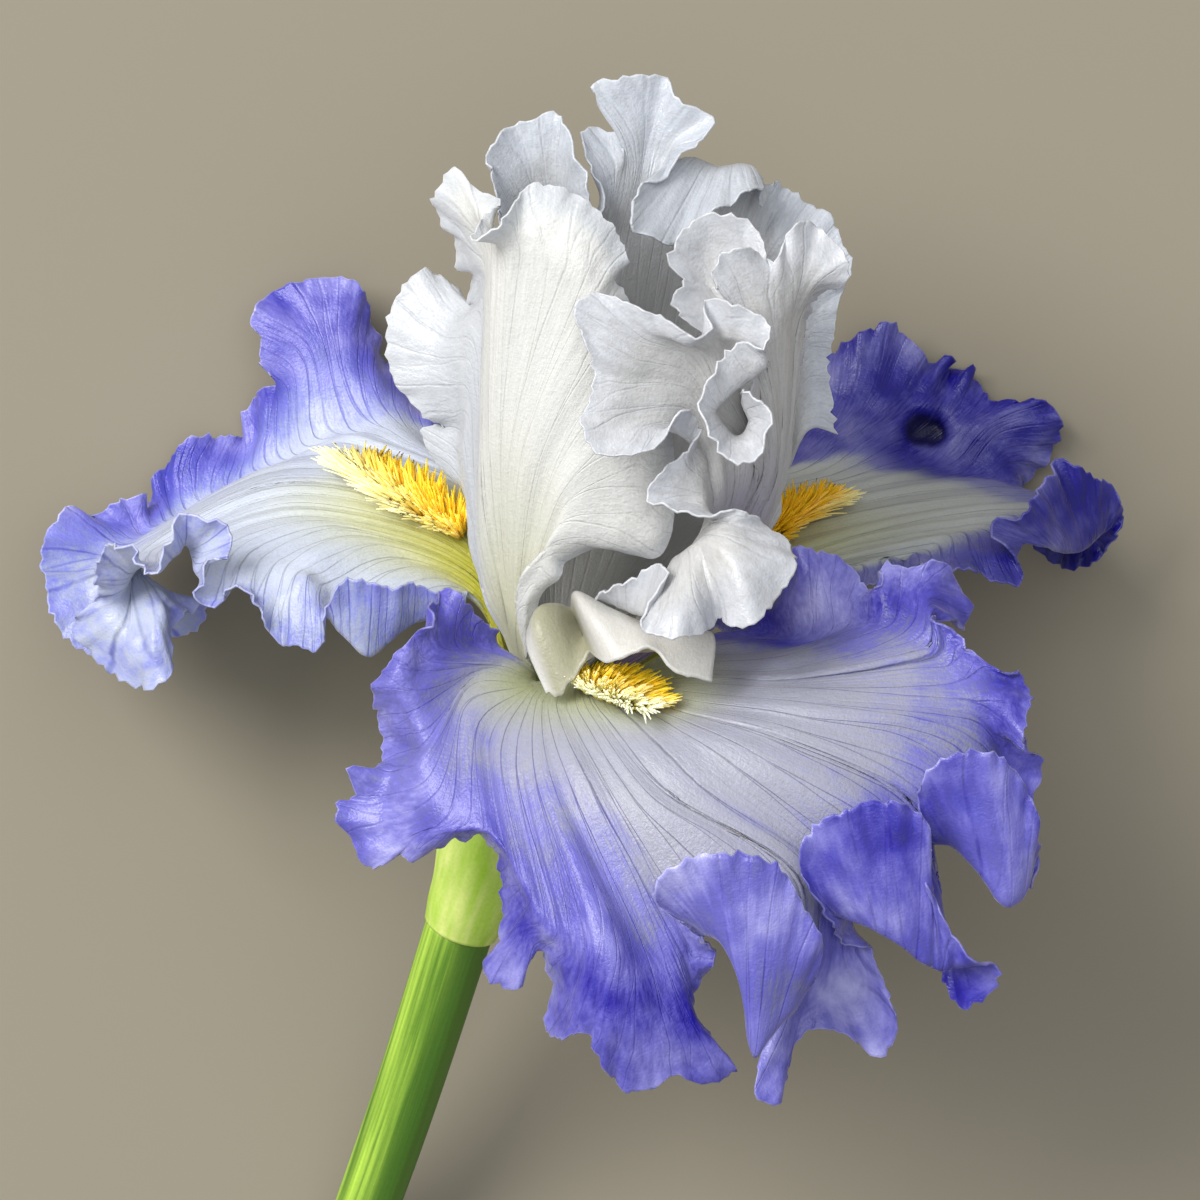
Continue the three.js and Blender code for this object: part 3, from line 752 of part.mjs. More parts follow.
// ---- falls and standards
const fallRows = (K) => [[0, 4], [0.1, 8], [0.2, 14], [0.31, 18], [0.42, 24],
  [0.53, Math.round(K * 0.5)], [0.64, K], [0.74, K], [0.83, K], [0.92, K], [1, K]];
const FALL_FRONT = surface(fallFront), FALL_LEFT = surface(fallLeft), FALL_RIGHT = surface(fallRight);
add('fall_front', sheet(FALL_FRONT, fallRows(fallFront.ribs.length - 1), BLADE), LILAC, 0.6);
add('fall_left', flatFoot(sheet(FALL_LEFT, fallRows(fallLeft.ribs.length - 1), BLADE)), PALE_LILAC, 0.6);
add('fall_right', flatFoot(sheet(FALL_RIGHT, fallRows(fallRight.ribs.length - 1), BLADE)), INDIGO, 0.6);
for (const [name, net] of [['standard_left', standardLeft], ['standard_right', standardRight],
  ['standard_back', standardBack]]) {
  add(name, sheet(surface(net), fallRows(net.ribs.length - 1), BLADE), WHITE, 0.6);
}

// ---- style arms: an arched roof over each haft, its crest turned up at the tip
const styleRows = [[0, 3], [0.25, 6], [0.42, 8], [0.6, 8], [0.75, 8], [0.9, 8], [1, 8]];
function rowsOnly(rows) {
  const v = rows.map((_, j) => j / (rows.length - 1));
  const curves = rows.map((r) => {
    const t = r.map((_, i) => i / (r.length - 1)), p = r.map(vec);
    return [t, p, slopes(t, p)];
  });
  return (u, w) => {
    const pts = curves.map(([t, p, m]) => hermite(t, p, m, Math.min(Math.max(u, 0), 1)));
    return hermite(v, pts, slopes(v, pts), Math.min(Math.max(w, 0), 1));
  };
}
add('style_front', sheet(rowsOnly(styleFront), styleRows, BLADE), CREAM, 0.55);
function local(out, e, h, s) {      // out from the axis, up it, and sideways
  const w = vec(AXIS).normalize(), o = vec(out), t = w.clone().cross(o).normalize();
  return vec(HEART).addScaledVector(o, e).addScaledVector(w, h).addScaledVector(t, s).toArray();
}
for (const side of ['left', 'right']) {
  const rows = styleSide.map((row) => row.map(([e, h, s]) => local(OUT[side], e, h, s - STYLE_SHIFT[side])));
  add('style_' + side, sheet(rowsOnly(rows), styleRows, BLADE), CREAM, 0.55);
}

// ---- beards: a slim core along the haft with its hairs fused on
function beard(S, path, half, high, lift, count, length, seed) {
  const up = vec(AXIS).addScaledVector(vec([0, 0, 1]), 0.5).normalize(), frames = [];
  const steps = 7, r = seeded(seed);
  const at = (f) => {
    const x = f * (path.length - 1), i = Math.min(Math.floor(x), path.length - 2), q = x - i;
    return [path[i][0] * (1 - q) + path[i + 1][0] * q, path[i][1] * (1 - q) + path[i + 1][1] * q];
  };
  for (let j = 0; j <= steps; j += 1) {
    const [u, v] = at(j / steps), n = normalAt(S, u, v);
    if (n.dot(up) < 0) n.negate();
    frames.push({ p: S(u, v).addScaledVector(n, lift), n });
  }
  frames.forEach((f, j) => {
    f.t = frames[Math.min(j + 1, steps)].p.clone().sub(frames[Math.max(j - 1, 0)].p).normalize();
    f.s = f.t.clone().cross(f.n).normalize();
    const k = Math.sin(Math.PI * (0.12 + 0.76 * (j / steps)));
    f.half = half * k;
    f.high = high * k;
  });
  let all = solid(loft(frames.map((f) => ring(f.p, f.t, f.s, f.half, f.high, CORE_SIDES))));
  for (let i = 0; i < count; i += 1) {
    const x = ((i + 0.5) / count) * steps, j = Math.min(Math.floor(x), steps - 1), q = x - j;
    const a = frames[j], b = frames[j + 1];
    const p = a.p.clone().lerp(b.p, q), n = a.n.clone().lerp(b.n, q).normalize();
    const s = a.s.clone().lerp(b.s, q).normalize(), t = a.t.clone().lerp(b.t, q).normalize();
    const fan = (i * 0.618034) % 1 * 2 - 1, w = a.half * (1 - q) + b.half * q;
    const dir = n.clone().addScaledVector(s, fan * 0.8).addScaledVector(t, 0.35 + 0.3 * r()).normalize();
    const len = length * (0.75 + 0.35 * r());
    const hair = new THREE.ConeGeometry(HAIR_D / 2, len, 4, 1);
    hair.translate(0, len / 2, 0);
    hair.applyQuaternion(new THREE.Quaternion().setFromUnitVectors(new THREE.Vector3(0, 1, 0), dir));
    const foot = p.clone().addScaledVector(s, fan * w * 0.55);
    hair.translate(foot.x, foot.y, foot.z);
    all = all.add(solid(hair));
  }
  return geometryOf(all);
}
for (const [name, S, path, half, high, lift, count, length] of beards(FALL_FRONT, FALL_LEFT, FALL_RIGHT)) {
  add(name, beard(S, path, half, high, lift, count, length, BEARD_SEED), YELLOW, 0.8);
}

// ---- perianth tube and ovary
const UPRIGHT = vec([0, 0, 1]);
const tubePath = new THREE.CatmullRomCurve3(TUBE_PATH.map(vec));
const tubeRings = TUBE_RADII.map(([f, r]) => {
  const along = f > CUP_FROM ? vec(AXIS) : tubePath.getTangentAt(f);
  return ring(tubePath.getPointAt(f), along, UPRIGHT, r, r, TUBE_SIDES);
});
// its flat top steps up inside the ring of falls to carry the standards and the style arms
for (const [up, r] of THROAT) {
  tubeRings.push(ring(vec(HEART).addScaledVector(vec(AXIS), up), vec(AXIS), UPRIGHT, r, r, TUBE_SIDES));
}
add('ovary_tube', loft(tubeRings), OVARY_GREEN, 0.5);

// ---- spathe: two papery valves wrapped round the ovary, each drawn in at its base and to a point;
// the outer one swells out over the ovary
const { smoothstep } = THREE.MathUtils;
function valve(turn, wrap, radius, height, swell) {
  return (u, v) => {
    const edge = Math.abs(2 * u - 1), f = v * height * (1 - 0.62 * edge ** 1.7) + 0.012;
    const c = tubePath.getPointAt(f), along = tubePath.getTangentAt(f);
    const drawn = Math.min(f / 0.15, 1), belly = Math.sin(Math.PI * Math.min(f / 0.62, 1));
    const puff = smoothstep(f, 0.15, 0.42) * (1 - 0.6 * smoothstep(f, 0.45, 0.62));
    const r = radius * (0.83 + 0.05 * drawn + 0.14 * belly) + swell * puff;
    const q = turn + (u - 0.5) * wrap;
    const s = UPRIGHT.clone().addScaledVector(along, -UPRIGHT.dot(along)).normalize();
    const t = along.clone().cross(s);
    return c.addScaledVector(s, r * Math.cos(q)).addScaledVector(t, r * Math.sin(q));
  };
}
const valveRows = [0, 0.25, 0.5, 0.75, 1].map((v) => [v, VALVE_STEPS]);
for (const [name, sizes] of Object.entries(VALVES)) {
  add(name, sheet(valve(...sizes), valveRows, SPATHE_BLADE), LIME, 0.6);
}

// ---- flower stem, cut square at its end
const stemPath = new THREE.CatmullRomCurve3(STEM_PATH.map(vec));
const stemRings = STEM_STEPS.map((f) => {
  const r = STEM_TOP_R + (STEM_END_R - STEM_TOP_R) * f;
  return ring(stemPath.getPointAt(f), stemPath.getTangentAt(f), UPRIGHT, r, r, STEM_SIDES);
});
add('stem', flatFoot(loft(stemRings)), STEM_GREEN, 0.45);

export default iris;
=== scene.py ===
"""A bearded iris flower on a short cut stem, laid on its back and looked straight down on."""
import math
import random

import bmesh
import bpy
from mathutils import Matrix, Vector, noise


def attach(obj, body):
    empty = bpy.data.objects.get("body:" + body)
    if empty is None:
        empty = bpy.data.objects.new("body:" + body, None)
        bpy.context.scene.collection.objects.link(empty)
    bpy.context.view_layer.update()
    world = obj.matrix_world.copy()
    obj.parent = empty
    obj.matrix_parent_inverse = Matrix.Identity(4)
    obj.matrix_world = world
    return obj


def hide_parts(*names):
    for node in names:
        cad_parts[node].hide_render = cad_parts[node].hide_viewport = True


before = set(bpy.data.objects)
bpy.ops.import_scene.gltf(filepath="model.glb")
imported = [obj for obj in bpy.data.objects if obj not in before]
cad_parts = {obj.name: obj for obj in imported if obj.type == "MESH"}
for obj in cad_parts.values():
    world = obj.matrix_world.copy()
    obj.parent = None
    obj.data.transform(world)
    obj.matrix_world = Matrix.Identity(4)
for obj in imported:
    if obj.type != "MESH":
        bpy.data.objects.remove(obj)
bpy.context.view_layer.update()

# ---------------------------------------------------------------- front fall
# The broad petal that hangs towards the viewer: a living blade of about half a millimetre, grown
# from a narrow haft under the style arm. It runs out level, and its margin is thrown into deep
# ruffles with a nicked edge. Pale centre, dark forking veins, violet margin. Sizes are in mm.
MM = 0.001
LAID = Vector((3, 15.95, 49.65))            # from the picture's middle, where the nets count from
ROW_HEIGHT = {"root": 0, "neck": 0.1, "haft": 0.2, "mid": 0.42}
RIB_HEIGHT = [0.64, 0.83, 1]
STEEPEST = 1.25                             # a row's tangent, in steps to the nearer neighbour
PETAL_ROWS = 50
COLUMN_STEP = 0.75                          # along the margin
SPACING_ROW = 0.95                          # height of the row where columns lie evenly
FAN_ROW = 0.66                              # height of the row where veins and pleats lie evenly
FAN_LANES = 240
TURN_ALLOWANCE = 0.02                       # more length a sample, so that tight turns get columns
ROW_CROWDING = 1.3                          # rows lie closer together towards the margin
LEAST_REACH = 4
DEEPEST_NICK = 0.09                         # share of the way from haft to edge
NICKS = (0.3, (2.1, 1.6), (0.9, 0.9))       # depth everywhere, then (length, depth) of two sizes
FRILLS = [(3.4, 2.6, 5.0), (1.7, 1.7, 2.6), (0.95, 0.7, 1.0)]   # crimps: length, height, depth inward
LUMP_LENGTH = 3.5
LUMP_HEIGHT = 0.5                           # share of a crimp's
PETAL_THICKNESS = 0.6
MARGIN_THICKNESS = 0.55                     # share of it left at the edge
THINS_FROM = 0.7                            # height from which a petal thins
PETAL_MARKS = ("violet", "green", "hollow", "along", "width", "inward")
FRONT_FALL = {
    "root": [
        (0, -10.4, -15.3, 4.9), (52, -7.4, -15.9, 4.9), (103, -4.4, -16.1, 4.9)],
    "neck": [
        (0, -10.4, -13, 8), (52, -3, -12.6, 13.5), (103, 2, -13.2, 8)],
    "haft": [
        (0, -10, -11, 11.5), (18, -11, -13.3, 17), (34, -8, -15.8, 22), (50, 0, -17, 26.5),
        (62, 8, -17.3, 28), (76, 13, -15.7, 26), (90, 14.5, -11.7, 20), (103, 12, -7.2, 12)],
    "mid": [
        (0, -12.5, -8.8, 13), (8, -18, -10.5, 17), (16, -20, -16, 20.5), (24, -14, -24, 27),
        (32, -7, -28, 32), (40, 1, -29, 35), (50, 10, -28.5, 36.5), (60, 20, -26, 36.5),
        (70, 27, -21, 34.5), (82, 31, -15.5, 31), (92, 29, -10.5, 25), (98, 25, -8, 18.5),
        (103, 18, -5, 11)],
    "ribs": [
        ((-15, -7, 13), (-15.5, -5.5, 13.5), (-15, -4.5, 14)),
        ((-18, -7, 15), (-18.5, -4, 16), (-17.5, -2.8, 15.5)),
        ((-21, -7, 17), (-21.8, -3, 17.5), (-20.5, 0.8, 16.5)),
        ((-23.5, -7.5, 18.5), (-24.8, -3.5, 19), (-24.5, 1.5, 16)),
        ((-25, -8, 19.5), (-26.3, -5.2, 21), (-24.6, -3, 23.5)),
        ((-26.2, -9.3, 20), (-28, -7, 22), (-28.4, -5.4, 22.5)),
        ((-27, -11.5, 21), (-30, -10.3, 23), (-32.3, -9.5, 21.5)),
        ((-27.2, -14, 22), (-31, -13.5, 22), (-34.4, -13.5, 19)),
        ((-27, -16.5, 22.5), (-30.5, -17, 20.5), (-33.8, -17.5, 15)),
        ((-26.6, -19, 23), (-29.5, -20, 19), (-33, -20.5, 15)),
        ((-26, -21.5, 23.5), (-28.5, -22.5, 18), (-33, -24, 14)),
        ((-26.3, -23.5, 25), (-30.5, -24.5, 19), (-35, -25.2, 18)),
        ((-25.8, -25.5, 25.5), (-32, -27, 19.5), (-38.4, -24.6, 20)),
        ((-25.2, -27.2, 26), (-32.5, -29.5, 19.5), (-37, -29, 18)),
        ((-24.4, -28.8, 26.5), (-32.5, -32, 20), (-40.3, -30.7, 18)),
        ((-23.4, -30.2, 27), (-31.5, -34.5, 21), (-38, -36, 18)),
        ((-22.2, -31.2, 27.5), (-29.5, -36, 22.5), (-35, -40.5, 19)),
        ((-21, -32, 28), (-27, -35.5, 25), (-30, -38.6, 22)),
        ((-19.5, -32.7, 29), (-24, -35, 27), (-28.2, -39.3, 23)),
        ((-17.8, -33.3, 30), (-20.5, -34.5, 28.5), (-22.5, -36.8, 24)),
        ((-16, -34.5, 31), (-17.3, -35, 29.5), (-18, -36.1, 25)),
        ((-14.3, -36.8, 32), (-14.8, -37.3, 30.5), (-15.3, -37.8, 26)),
        ((-12.5, -39.8, 33.5), (-12.8, -41.5, 31.5), (-13.8, -42, 27)),
        ((-10.8, -42.5, 35), (-11.3, -45.5, 32.5), (-15, -50, 27)),
        ((-9.5, -45, 36), (-11.8, -48.5, 32.5), (-18.2, -55, 27)),
        ((-8.3, -46.8, 36.5), (-11, -50, 33), (-15, -58.1, 29)),
        ((-7, -48, 37.5), (-9.8, -50.8, 33.5), (-11.7, -57.8, 31)),
        ((-5.8, -48.7, 38.5), (-8, -52.5, 34), (-9.6, -52.3, 31)),
        ((-4.5, -49.2, 39.5), (-6, -55, 35), (-6.5, -57.5, 30)),
        ((-3, -49.3, 40.5), (-4.6, -58.5, 37), (-8.6, -64.5, 31)),
        ((-1.5, -49.2, 41.3), (-3.6, -60.5, 38.5), (-4.8, -65, 35)),
        ((0.2, -49.3, 42), (-1.3, -61.5, 40), (-2.3, -63.9, 38)),
        ((2, -50, 42), (1, -62, 41), (0, -67.3, 38)), ((3.8, -51.2, 41.5), (4, -63.5, 41), (2.5, -72, 36)),
        ((5.3, -52.7, 41), (7, -64, 40.5), (7, -73, 36)),
        ((6.8, -53.5, 40), (9.5, -64, 39.5), (11, -70.7, 37)),
        ((8, -53, 39), (12.3, -63.5, 38.5), (15.5, -72.2, 36)),
        ((9, -51.5, 38.5), (14, -62.5, 38), (20.8, -70, 35.5)),
        ((9.8, -49.8, 38.3), (13.2, -59, 37), (14, -61.2, 35)),
        ((10.5, -48.2, 38.3), (13.5, -54.5, 36.5), (16.5, -54.5, 36)),
        ((11.2, -46.6, 38.5), (14, -50.5, 38), (17.3, -50.8, 39)),
        ((12, -45.2, 39), (15.5, -49.3, 40.5), (11.5, -47.3, 45)),
        ((13.5, -44, 39.5), (18.5, -50.5, 42), (7.6, -43.6, 48)),
        ((15.2, -43.2, 40), (20.6, -54, 43.5), (9.5, -39.3, 50)),
        ((17, -42.6, 40.3), (21.7, -59.5, 44.5), (14, -37, 51)),
        ((19, -42.2, 40.5), (22, -65.5, 45), (20, -36.8, 51)),
        ((21.2, -41.8, 40.5), (23, -67.5, 45), (26, -38.2, 50)),
        ((23.5, -41.5, 40.5), (24.5, -65, 44.5), (29.7, -44, 48.5)),
        ((25.8, -41.2, 40.2), (26.5, -62, 43), (33, -50.5, 46)),
        ((27.8, -41, 40), (28, -59.5, 41), (31, -57.5, 43.2)),
        ((29.3, -41, 39.5), (28.3, -58, 37.3), (25.5, -62, 37)),
        ((30.5, -41, 39), (28.7, -60, 36), (22.7, -73, 38.5)),
        ((31.4, -41, 38.5), (29.3, -61, 34.5), (25.7, -75, 37)),
        ((32.2, -41, 38), (31, -59.5, 33), (29, -65.2, 33)),
        ((33, -41, 37.5), (33.5, -58, 32), (35, -64.4, 31)),
        ((33.8, -41, 37), (36.5, -57, 31.5), (42, -68.8, 31)),
        ((34.5, -41, 36.8), (38, -54.5, 31.5), (44.5, -63.5, 31)),
        ((35.2, -41, 36.6), (38, -51.8, 32.5), (42.5, -57, 32)),
        ((36, -40.8, 36.6), (37, -48.5, 34), (40, -52.3, 33.5)),
        ((36.8, -40.4, 36.8), (36, -46.5, 37), (33.3, -48, 40)),
        ((37.6, -39.8, 37), (36.5, -47, 39.5), (29, -38, 44)),
        ((38.5, -39, 37.2), (39, -47.8, 40.5), (31.8, -32.8, 46)),
        ((39.5, -38, 37.4), (42, -49.3, 41), (37, -30.2, 47)),
        ((40.5, -37, 37.4), (45, -51.5, 40.5), (42.5, -29, 46)),
        ((41.5, -36, 37.2), (48, -54, 39.5), (48.3, -32.5, 44)),
        ((42.3, -35, 36.8), (50, -55, 38), (49, -42, 42)),
        ((43, -34, 36.4), (51, -54, 36.5), (54, -51, 40)),
        ((43.6, -33, 36), (51.5, -52.5, 34.5), (59.5, -56, 37)),
        ((44.2, -32, 35.6), (51.5, -50, 33), (54, -61.3, 33)),
        ((44.8, -31, 35.2), (51, -46.5, 32.5), (51.5, -55, 31)),
        ((45.4, -30, 34.8), (50, -42, 32.5), (50.5, -46, 32)),
        ((46, -29, 34.4), (49, -37, 33), (49.5, -37, 34)),
        ((46.8, -28, 34.2), (50.5, -36, 35), (47.3, -33.5, 39)),
        ((47.6, -27, 34), (53, -37.3, 37), (47.3, -26, 43)),
        ((48.4, -26, 33.8), (56, -40, 38.5), (51, -22.6, 44)),
        ((49.2, -25, 33.6), (58.5, -43, 39), (57.5, -22, 44)),
        ((50, -24, 33.2), (60.3, -45.5, 38), (62.5, -26, 42)),
        ((50.8, -23, 32.8), (61.5, -44, 36), (65.3, -33.5, 39)),
        ((51.6, -22, 32.4), (62, -41, 33.5), (66, -37.5, 35)),
        ((52.4, -21, 32), (61.5, -36.5, 31), (64, -44, 32)),
        ((53.2, -20, 31.6), (60.5, -31, 29), (63.5, -36, 28)),
        ((53.8, -19, 31.2), (60.5, -27, 27.5), (65, -29, 25)),
        ((54.2, -18, 30.8), (60, -23.5, 27.5), (66.6, -24, 24)),
        ((54.4, -17, 30.4), (59.8, -21, 28.5), (63.5, -22, 27)),
        ((54.4, -16, 30.2), (59.5, -18.5, 30), (62.6, -23, 32)),
        ((54.2, -14.8, 30), (59.5, -15.5, 31), (63.8, -18, 32)),
        ((53.8, -13.5, 29.6), (59.5, -13, 29.5), (64.7, -13.5, 28)),
        ((53, -12, 29), (57.5, -10.5, 28.5), (61.5, -11.5, 29)),
        ((52, -10.5, 28.3), (55, -8.5, 27.5), (57, -9, 28)),
        ((50.5, -9, 27.5), (52, -5.5, 26.5), (53, -5.8, 27)),
        ((49, -7.5, 26.8), (50, -3, 25), (50, -2, 25)),
        ((47.5, -6.5, 26), (49.5, -0.5, 22.5), (55.3, -4.6, 17)),
        ((46, -5.5, 25), (49, 1, 21), (55.5, 1, 16)), ((44.5, -5, 24), (47.5, 2, 20), (51.3, 6, 17)),
        ((43, -4.5, 23), (45, 2, 20), (46.5, 5.2, 19)), ((41.5, -4.2, 22), (42.3, 1.5, 20.5), (43, 6, 18)),
        ((40, -4, 21), (40.5, 0, 19), (41.3, 2, 21)), ((38, -4, 20.3), (38, 0, 17), (39.5, 3, 14.5)),
        ((36, -4.5, 20), (36, 1, 17.5), (37, 6, 14)), ((33.5, -5, 19.5), (33.2, 2, 17.5), (33, 7.8, 14)),
        ((31, -5.5, 18.5), (30.5, 1, 16), (30, 8, 13)), ((28.5, -5.5, 17), (27.5, -1, 14), (28.3, 3, 11)),
        ((25.3, -5.2, 15), (25, -2.2, 12.6), (25, 0.4, 10.2)),
        ((22, -4.4, 12.2), (21.8, -2.8, 10.8), (21.5, -1.4, 9.4))],
}
# Where the violet begins and is full, from the haft 0 to the edge 1, and how full, at some ribs.
# At the leftmost ribs the violet is less full, partly painted light on the lobes there that face the lamp.
FRONT_FALL_VIOLET = [
    (0, 0.12, 0.66, 0.75), (10, 0.14, 0.75, 0.65), (20, 0.16, 0.8, 0.85), (32, 0.2, 0.85, 1.1),
    (40, 0.25, 0.95, 1), (43, 0.42, 1.12, 0.85), (51, 0.42, 1.12, 0.9), (54, 0.25, 1, 1),
    (57, 0.38, 1.05, 0.9), (64, 0.34, 1.05, 0.9), (68, 0.24, 1, 1), (72, 0.34, 1.1, 0.9),
    (80, 0.3, 1.05, 0.9), (90, 0.24, 1.05, 0.85), (98, 0.2, 0.8, 1.1), (103, 0.1, 0.5, 1.3)]
# How far the yellow-green of the haft reaches.
FRONT_FALL_GREEN = [(0, 0.52), (14, 0.5), (26, 0.36), (50, 0.3), (103, 0.34)]
EVEN_FRILL = [(0, 1), (200, 1)]


def place(p):
    """A point in millimetres from the picture's middle, in the frame's metres."""
    return (Vector(p) + LAID) * MM


def slopes(t, p):
    """Tangents of a smooth row, held back so that no wave overshoots."""
    out = []
    for i, q in enumerate(p):
        a, b = max(i - 1, 0), min(i + 1, len(p) - 1)
        m = (p[b] - p[a]) / (t[b] - t[a])
        near = [(q - p[j]).length / abs(t[i] - t[j]) for j in (a, b) if j != i]
        cap = STEEPEST * min(near)
        out.append(m * (cap / m.length) if m.length > cap else m)
    return out


def hermite(t, p, m, x):
    """The point of a smooth row at x."""
    i = 0
    while i < len(t) - 2 and x > t[i + 1]:
        i += 1
    h = t[i + 1] - t[i]
    s = min(max((x - t[i]) / h, 0), 1)
    return (p[i] * (2 * s ** 3 - 3 * s * s + 1) + m[i] * (h * (s ** 3 - 2 * s * s + s))
            + p[i + 1] * (3 * s * s - 2 * s ** 3) + m[i + 1] * (h * (s ** 3 - s * s)))


def ease(a, b, x):
    """A soft step from 0 at a to 1 at b."""
    x = min(max((x - a) / (b - a), 0), 1)
    return x * x * (3 - 2 * x)


def read(table, k):
    """A value, or values, from a table of (rib, value ...) read between its ribs."""
    for a, b in zip(table, table[1:]):
        if k <= b[0]:
            f = (k - a[0]) / (b[0] - a[0])
            return [x + (y - x) * f for x, y in zip(a[1:], b[1:])]
    return list(table[-1][1:])


class Blade:
    """A petal's bare surface: u runs round the margin, v from the haft to the edge."""

    def __init__(self, rows, heights):
        self.heights = heights
        self.rows = [(t, p, slopes(t, p)) for t, p in rows]
        self.last = rows[-1][0][-1]

    def column(self, u):
        p = [hermite(t, q, m, u * self.last) for t, q, m in self.rows]
        return p, slopes(self.heights, p)

    def at(self, u, v):
        p, m = self.column(u)
        return hermite(self.heights, p, m, min(max(v, 0), 1))

    def normal(self, u, v, near=0.004):
        across = self.at(min(u + near, 1), v) - self.at(max(u - near, 0), v)
        return across.cross(self.at(u, min(v + near, 1)) - self.at(u, max(v - near, 0))).normalized()


def petal_blade(net):
    """The surface through a net: rows near the haft as (rib, x, y, z), then three points a rib."""
    rows, heights = [], []
    for name, height in ROW_HEIGHT.items():
        if name in net:
            rows.append(([q[0] for q in net[name]], [Vector(q[1:]) for q in net[name]]))
            heights.append(height)
    for j, height in enumerate(RIB_HEIGHT):
        rows.append((list(range(len(net["ribs"]))), [Vector(rib[j]) for rib in net["ribs"]]))
        heights.append(height)
    return Blade(rows, heights)


def even_steps(blade, v, count):
    """Values of u spaced evenly along the row at v, and that row's length."""
    fine = 8 * int(blade.last)
    points = [blade.at(i / fine, v) for i in range(fine + 1)]
    run = [0.0]
    for a, b in zip(points, points[1:]):
        run.append(run[-1] + (b - a).length + TURN_ALLOWANCE)
    out, i = [], 0
    for k in range(count + 1):
        target = run[-1] * k / count
        while i < fine - 1 and run[i + 1] < target:
            i += 1
        out.append((i + (target - run[i]) / (run[i + 1] - run[i])) / fine)
    return out, run[-1] - TURN_ALLOWANCE * fine


def nicked_columns(blade, frill, nick, seed):
    """Columns of (point, v, distance to the edge) that end at a nicked edge, and each one's u."""
    margin = even_steps(blade, SPACING_ROW, 10)[1]
    count = round(margin / COLUMN_STEP)
    us, margin = even_steps(blade, SPACING_ROW, count)
    columns = []
    for i, u in enumerate(us):
        s = margin * i / count
        p, m = blade.column(u)
        reach = max((p[-1] - p[-2]).length / (1 - RIB_HEIGHT[1]), LEAST_REACH)
        least, (long, deep), (short, shallow) = NICKS
        cut = nick * (least + deep * abs(noise.noise((s / long, seed, 0)))
                      + shallow * noise.noise((s / short, seed, 5)))
        cut *= read(frill, u * blade.last)[0]
        top = 1 - min(max(cut, 0) / reach, DEEPEST_NICK)
        heights = [top * (1 - (1 - j / PETAL_ROWS) ** ROW_CROWDING) for j in range(PETAL_ROWS + 1)]
        columns.append([(hermite(blade.heights, p, m, v), v, (top - v) * reach) for v in heights])
    return columns, us, margin


def fan_places(blade, us):
    """Each column's way across the petal, 0 to 1, counted where the veins lie evenly."""
    lanes = even_steps(blade, FAN_ROW, FAN_LANES)[0]
    places, lane = [], 0
    for u in us:
        while lane < FAN_LANES - 1 and lanes[lane + 1] < u:
            lane += 1
        places.append((lane + (u - lanes[lane]) / (lanes[lane + 1] - lanes[lane])) / FAN_LANES)
    return places


def bmesh_grid(columns, rows, marks, uv_name):
    """A flat grid, its vertices by column and row, and layers for its markings and its UV map."""
    bm = bmesh.new()
    layers = {key: bm.verts.layers.float.new(key) for key in marks}
    uv = bm.loops.layers.uv.new(uv_name)
    bmesh.ops.create_grid(bm, x_segments=columns, y_segments=rows, size=0.5)
    grid = [[None] * (rows + 1) for _ in range(columns + 1)]
    for vert in bm.verts:
        grid[round((vert.co.x + 0.5) * columns)][round((vert.co.y + 0.5) * rows)] = vert
    return bm, grid, layers, uv


def smooth_and_map(bm, uv, where):
    """Shades the faces smooth and writes the UV map from each vertex's place."""
    for face in bm.faces:
        face.smooth = True
        for loop in face.loops:
            loop[uv].uv = where[loop.vert]


def new_piece(name, bm, material):
    """Turns a finished bmesh into a piece of the scene."""
    mesh = bpy.data.meshes.new(name)
    bm.to_mesh(mesh)
    bm.free()
    mesh.materials.append(material)
    piece = bpy.data.objects.new(name, mesh)
    bpy.context.collection.objects.link(piece)
    return piece


def new_sheet(name, bm, thickness, thin_edge, material):
    """Turns the moved grid into a piece and gives it its thickness, thinner towards the margin."""
    piece = new_piece(name, bm, material)
    group = piece.vertex_groups.new(name="body")
    for i, item in enumerate(piece.data.attributes["along"].data):
        group.add([i], 1 - (1 - thin_edge) * ease(THINS_FROM, 1, item.value), "REPLACE")
    shell = piece.modifiers.new("thickness", "SOLIDIFY")
    shell.thickness = thickness * MM
    shell.offset = 0
    shell.vertex_group = "body"
    return piece


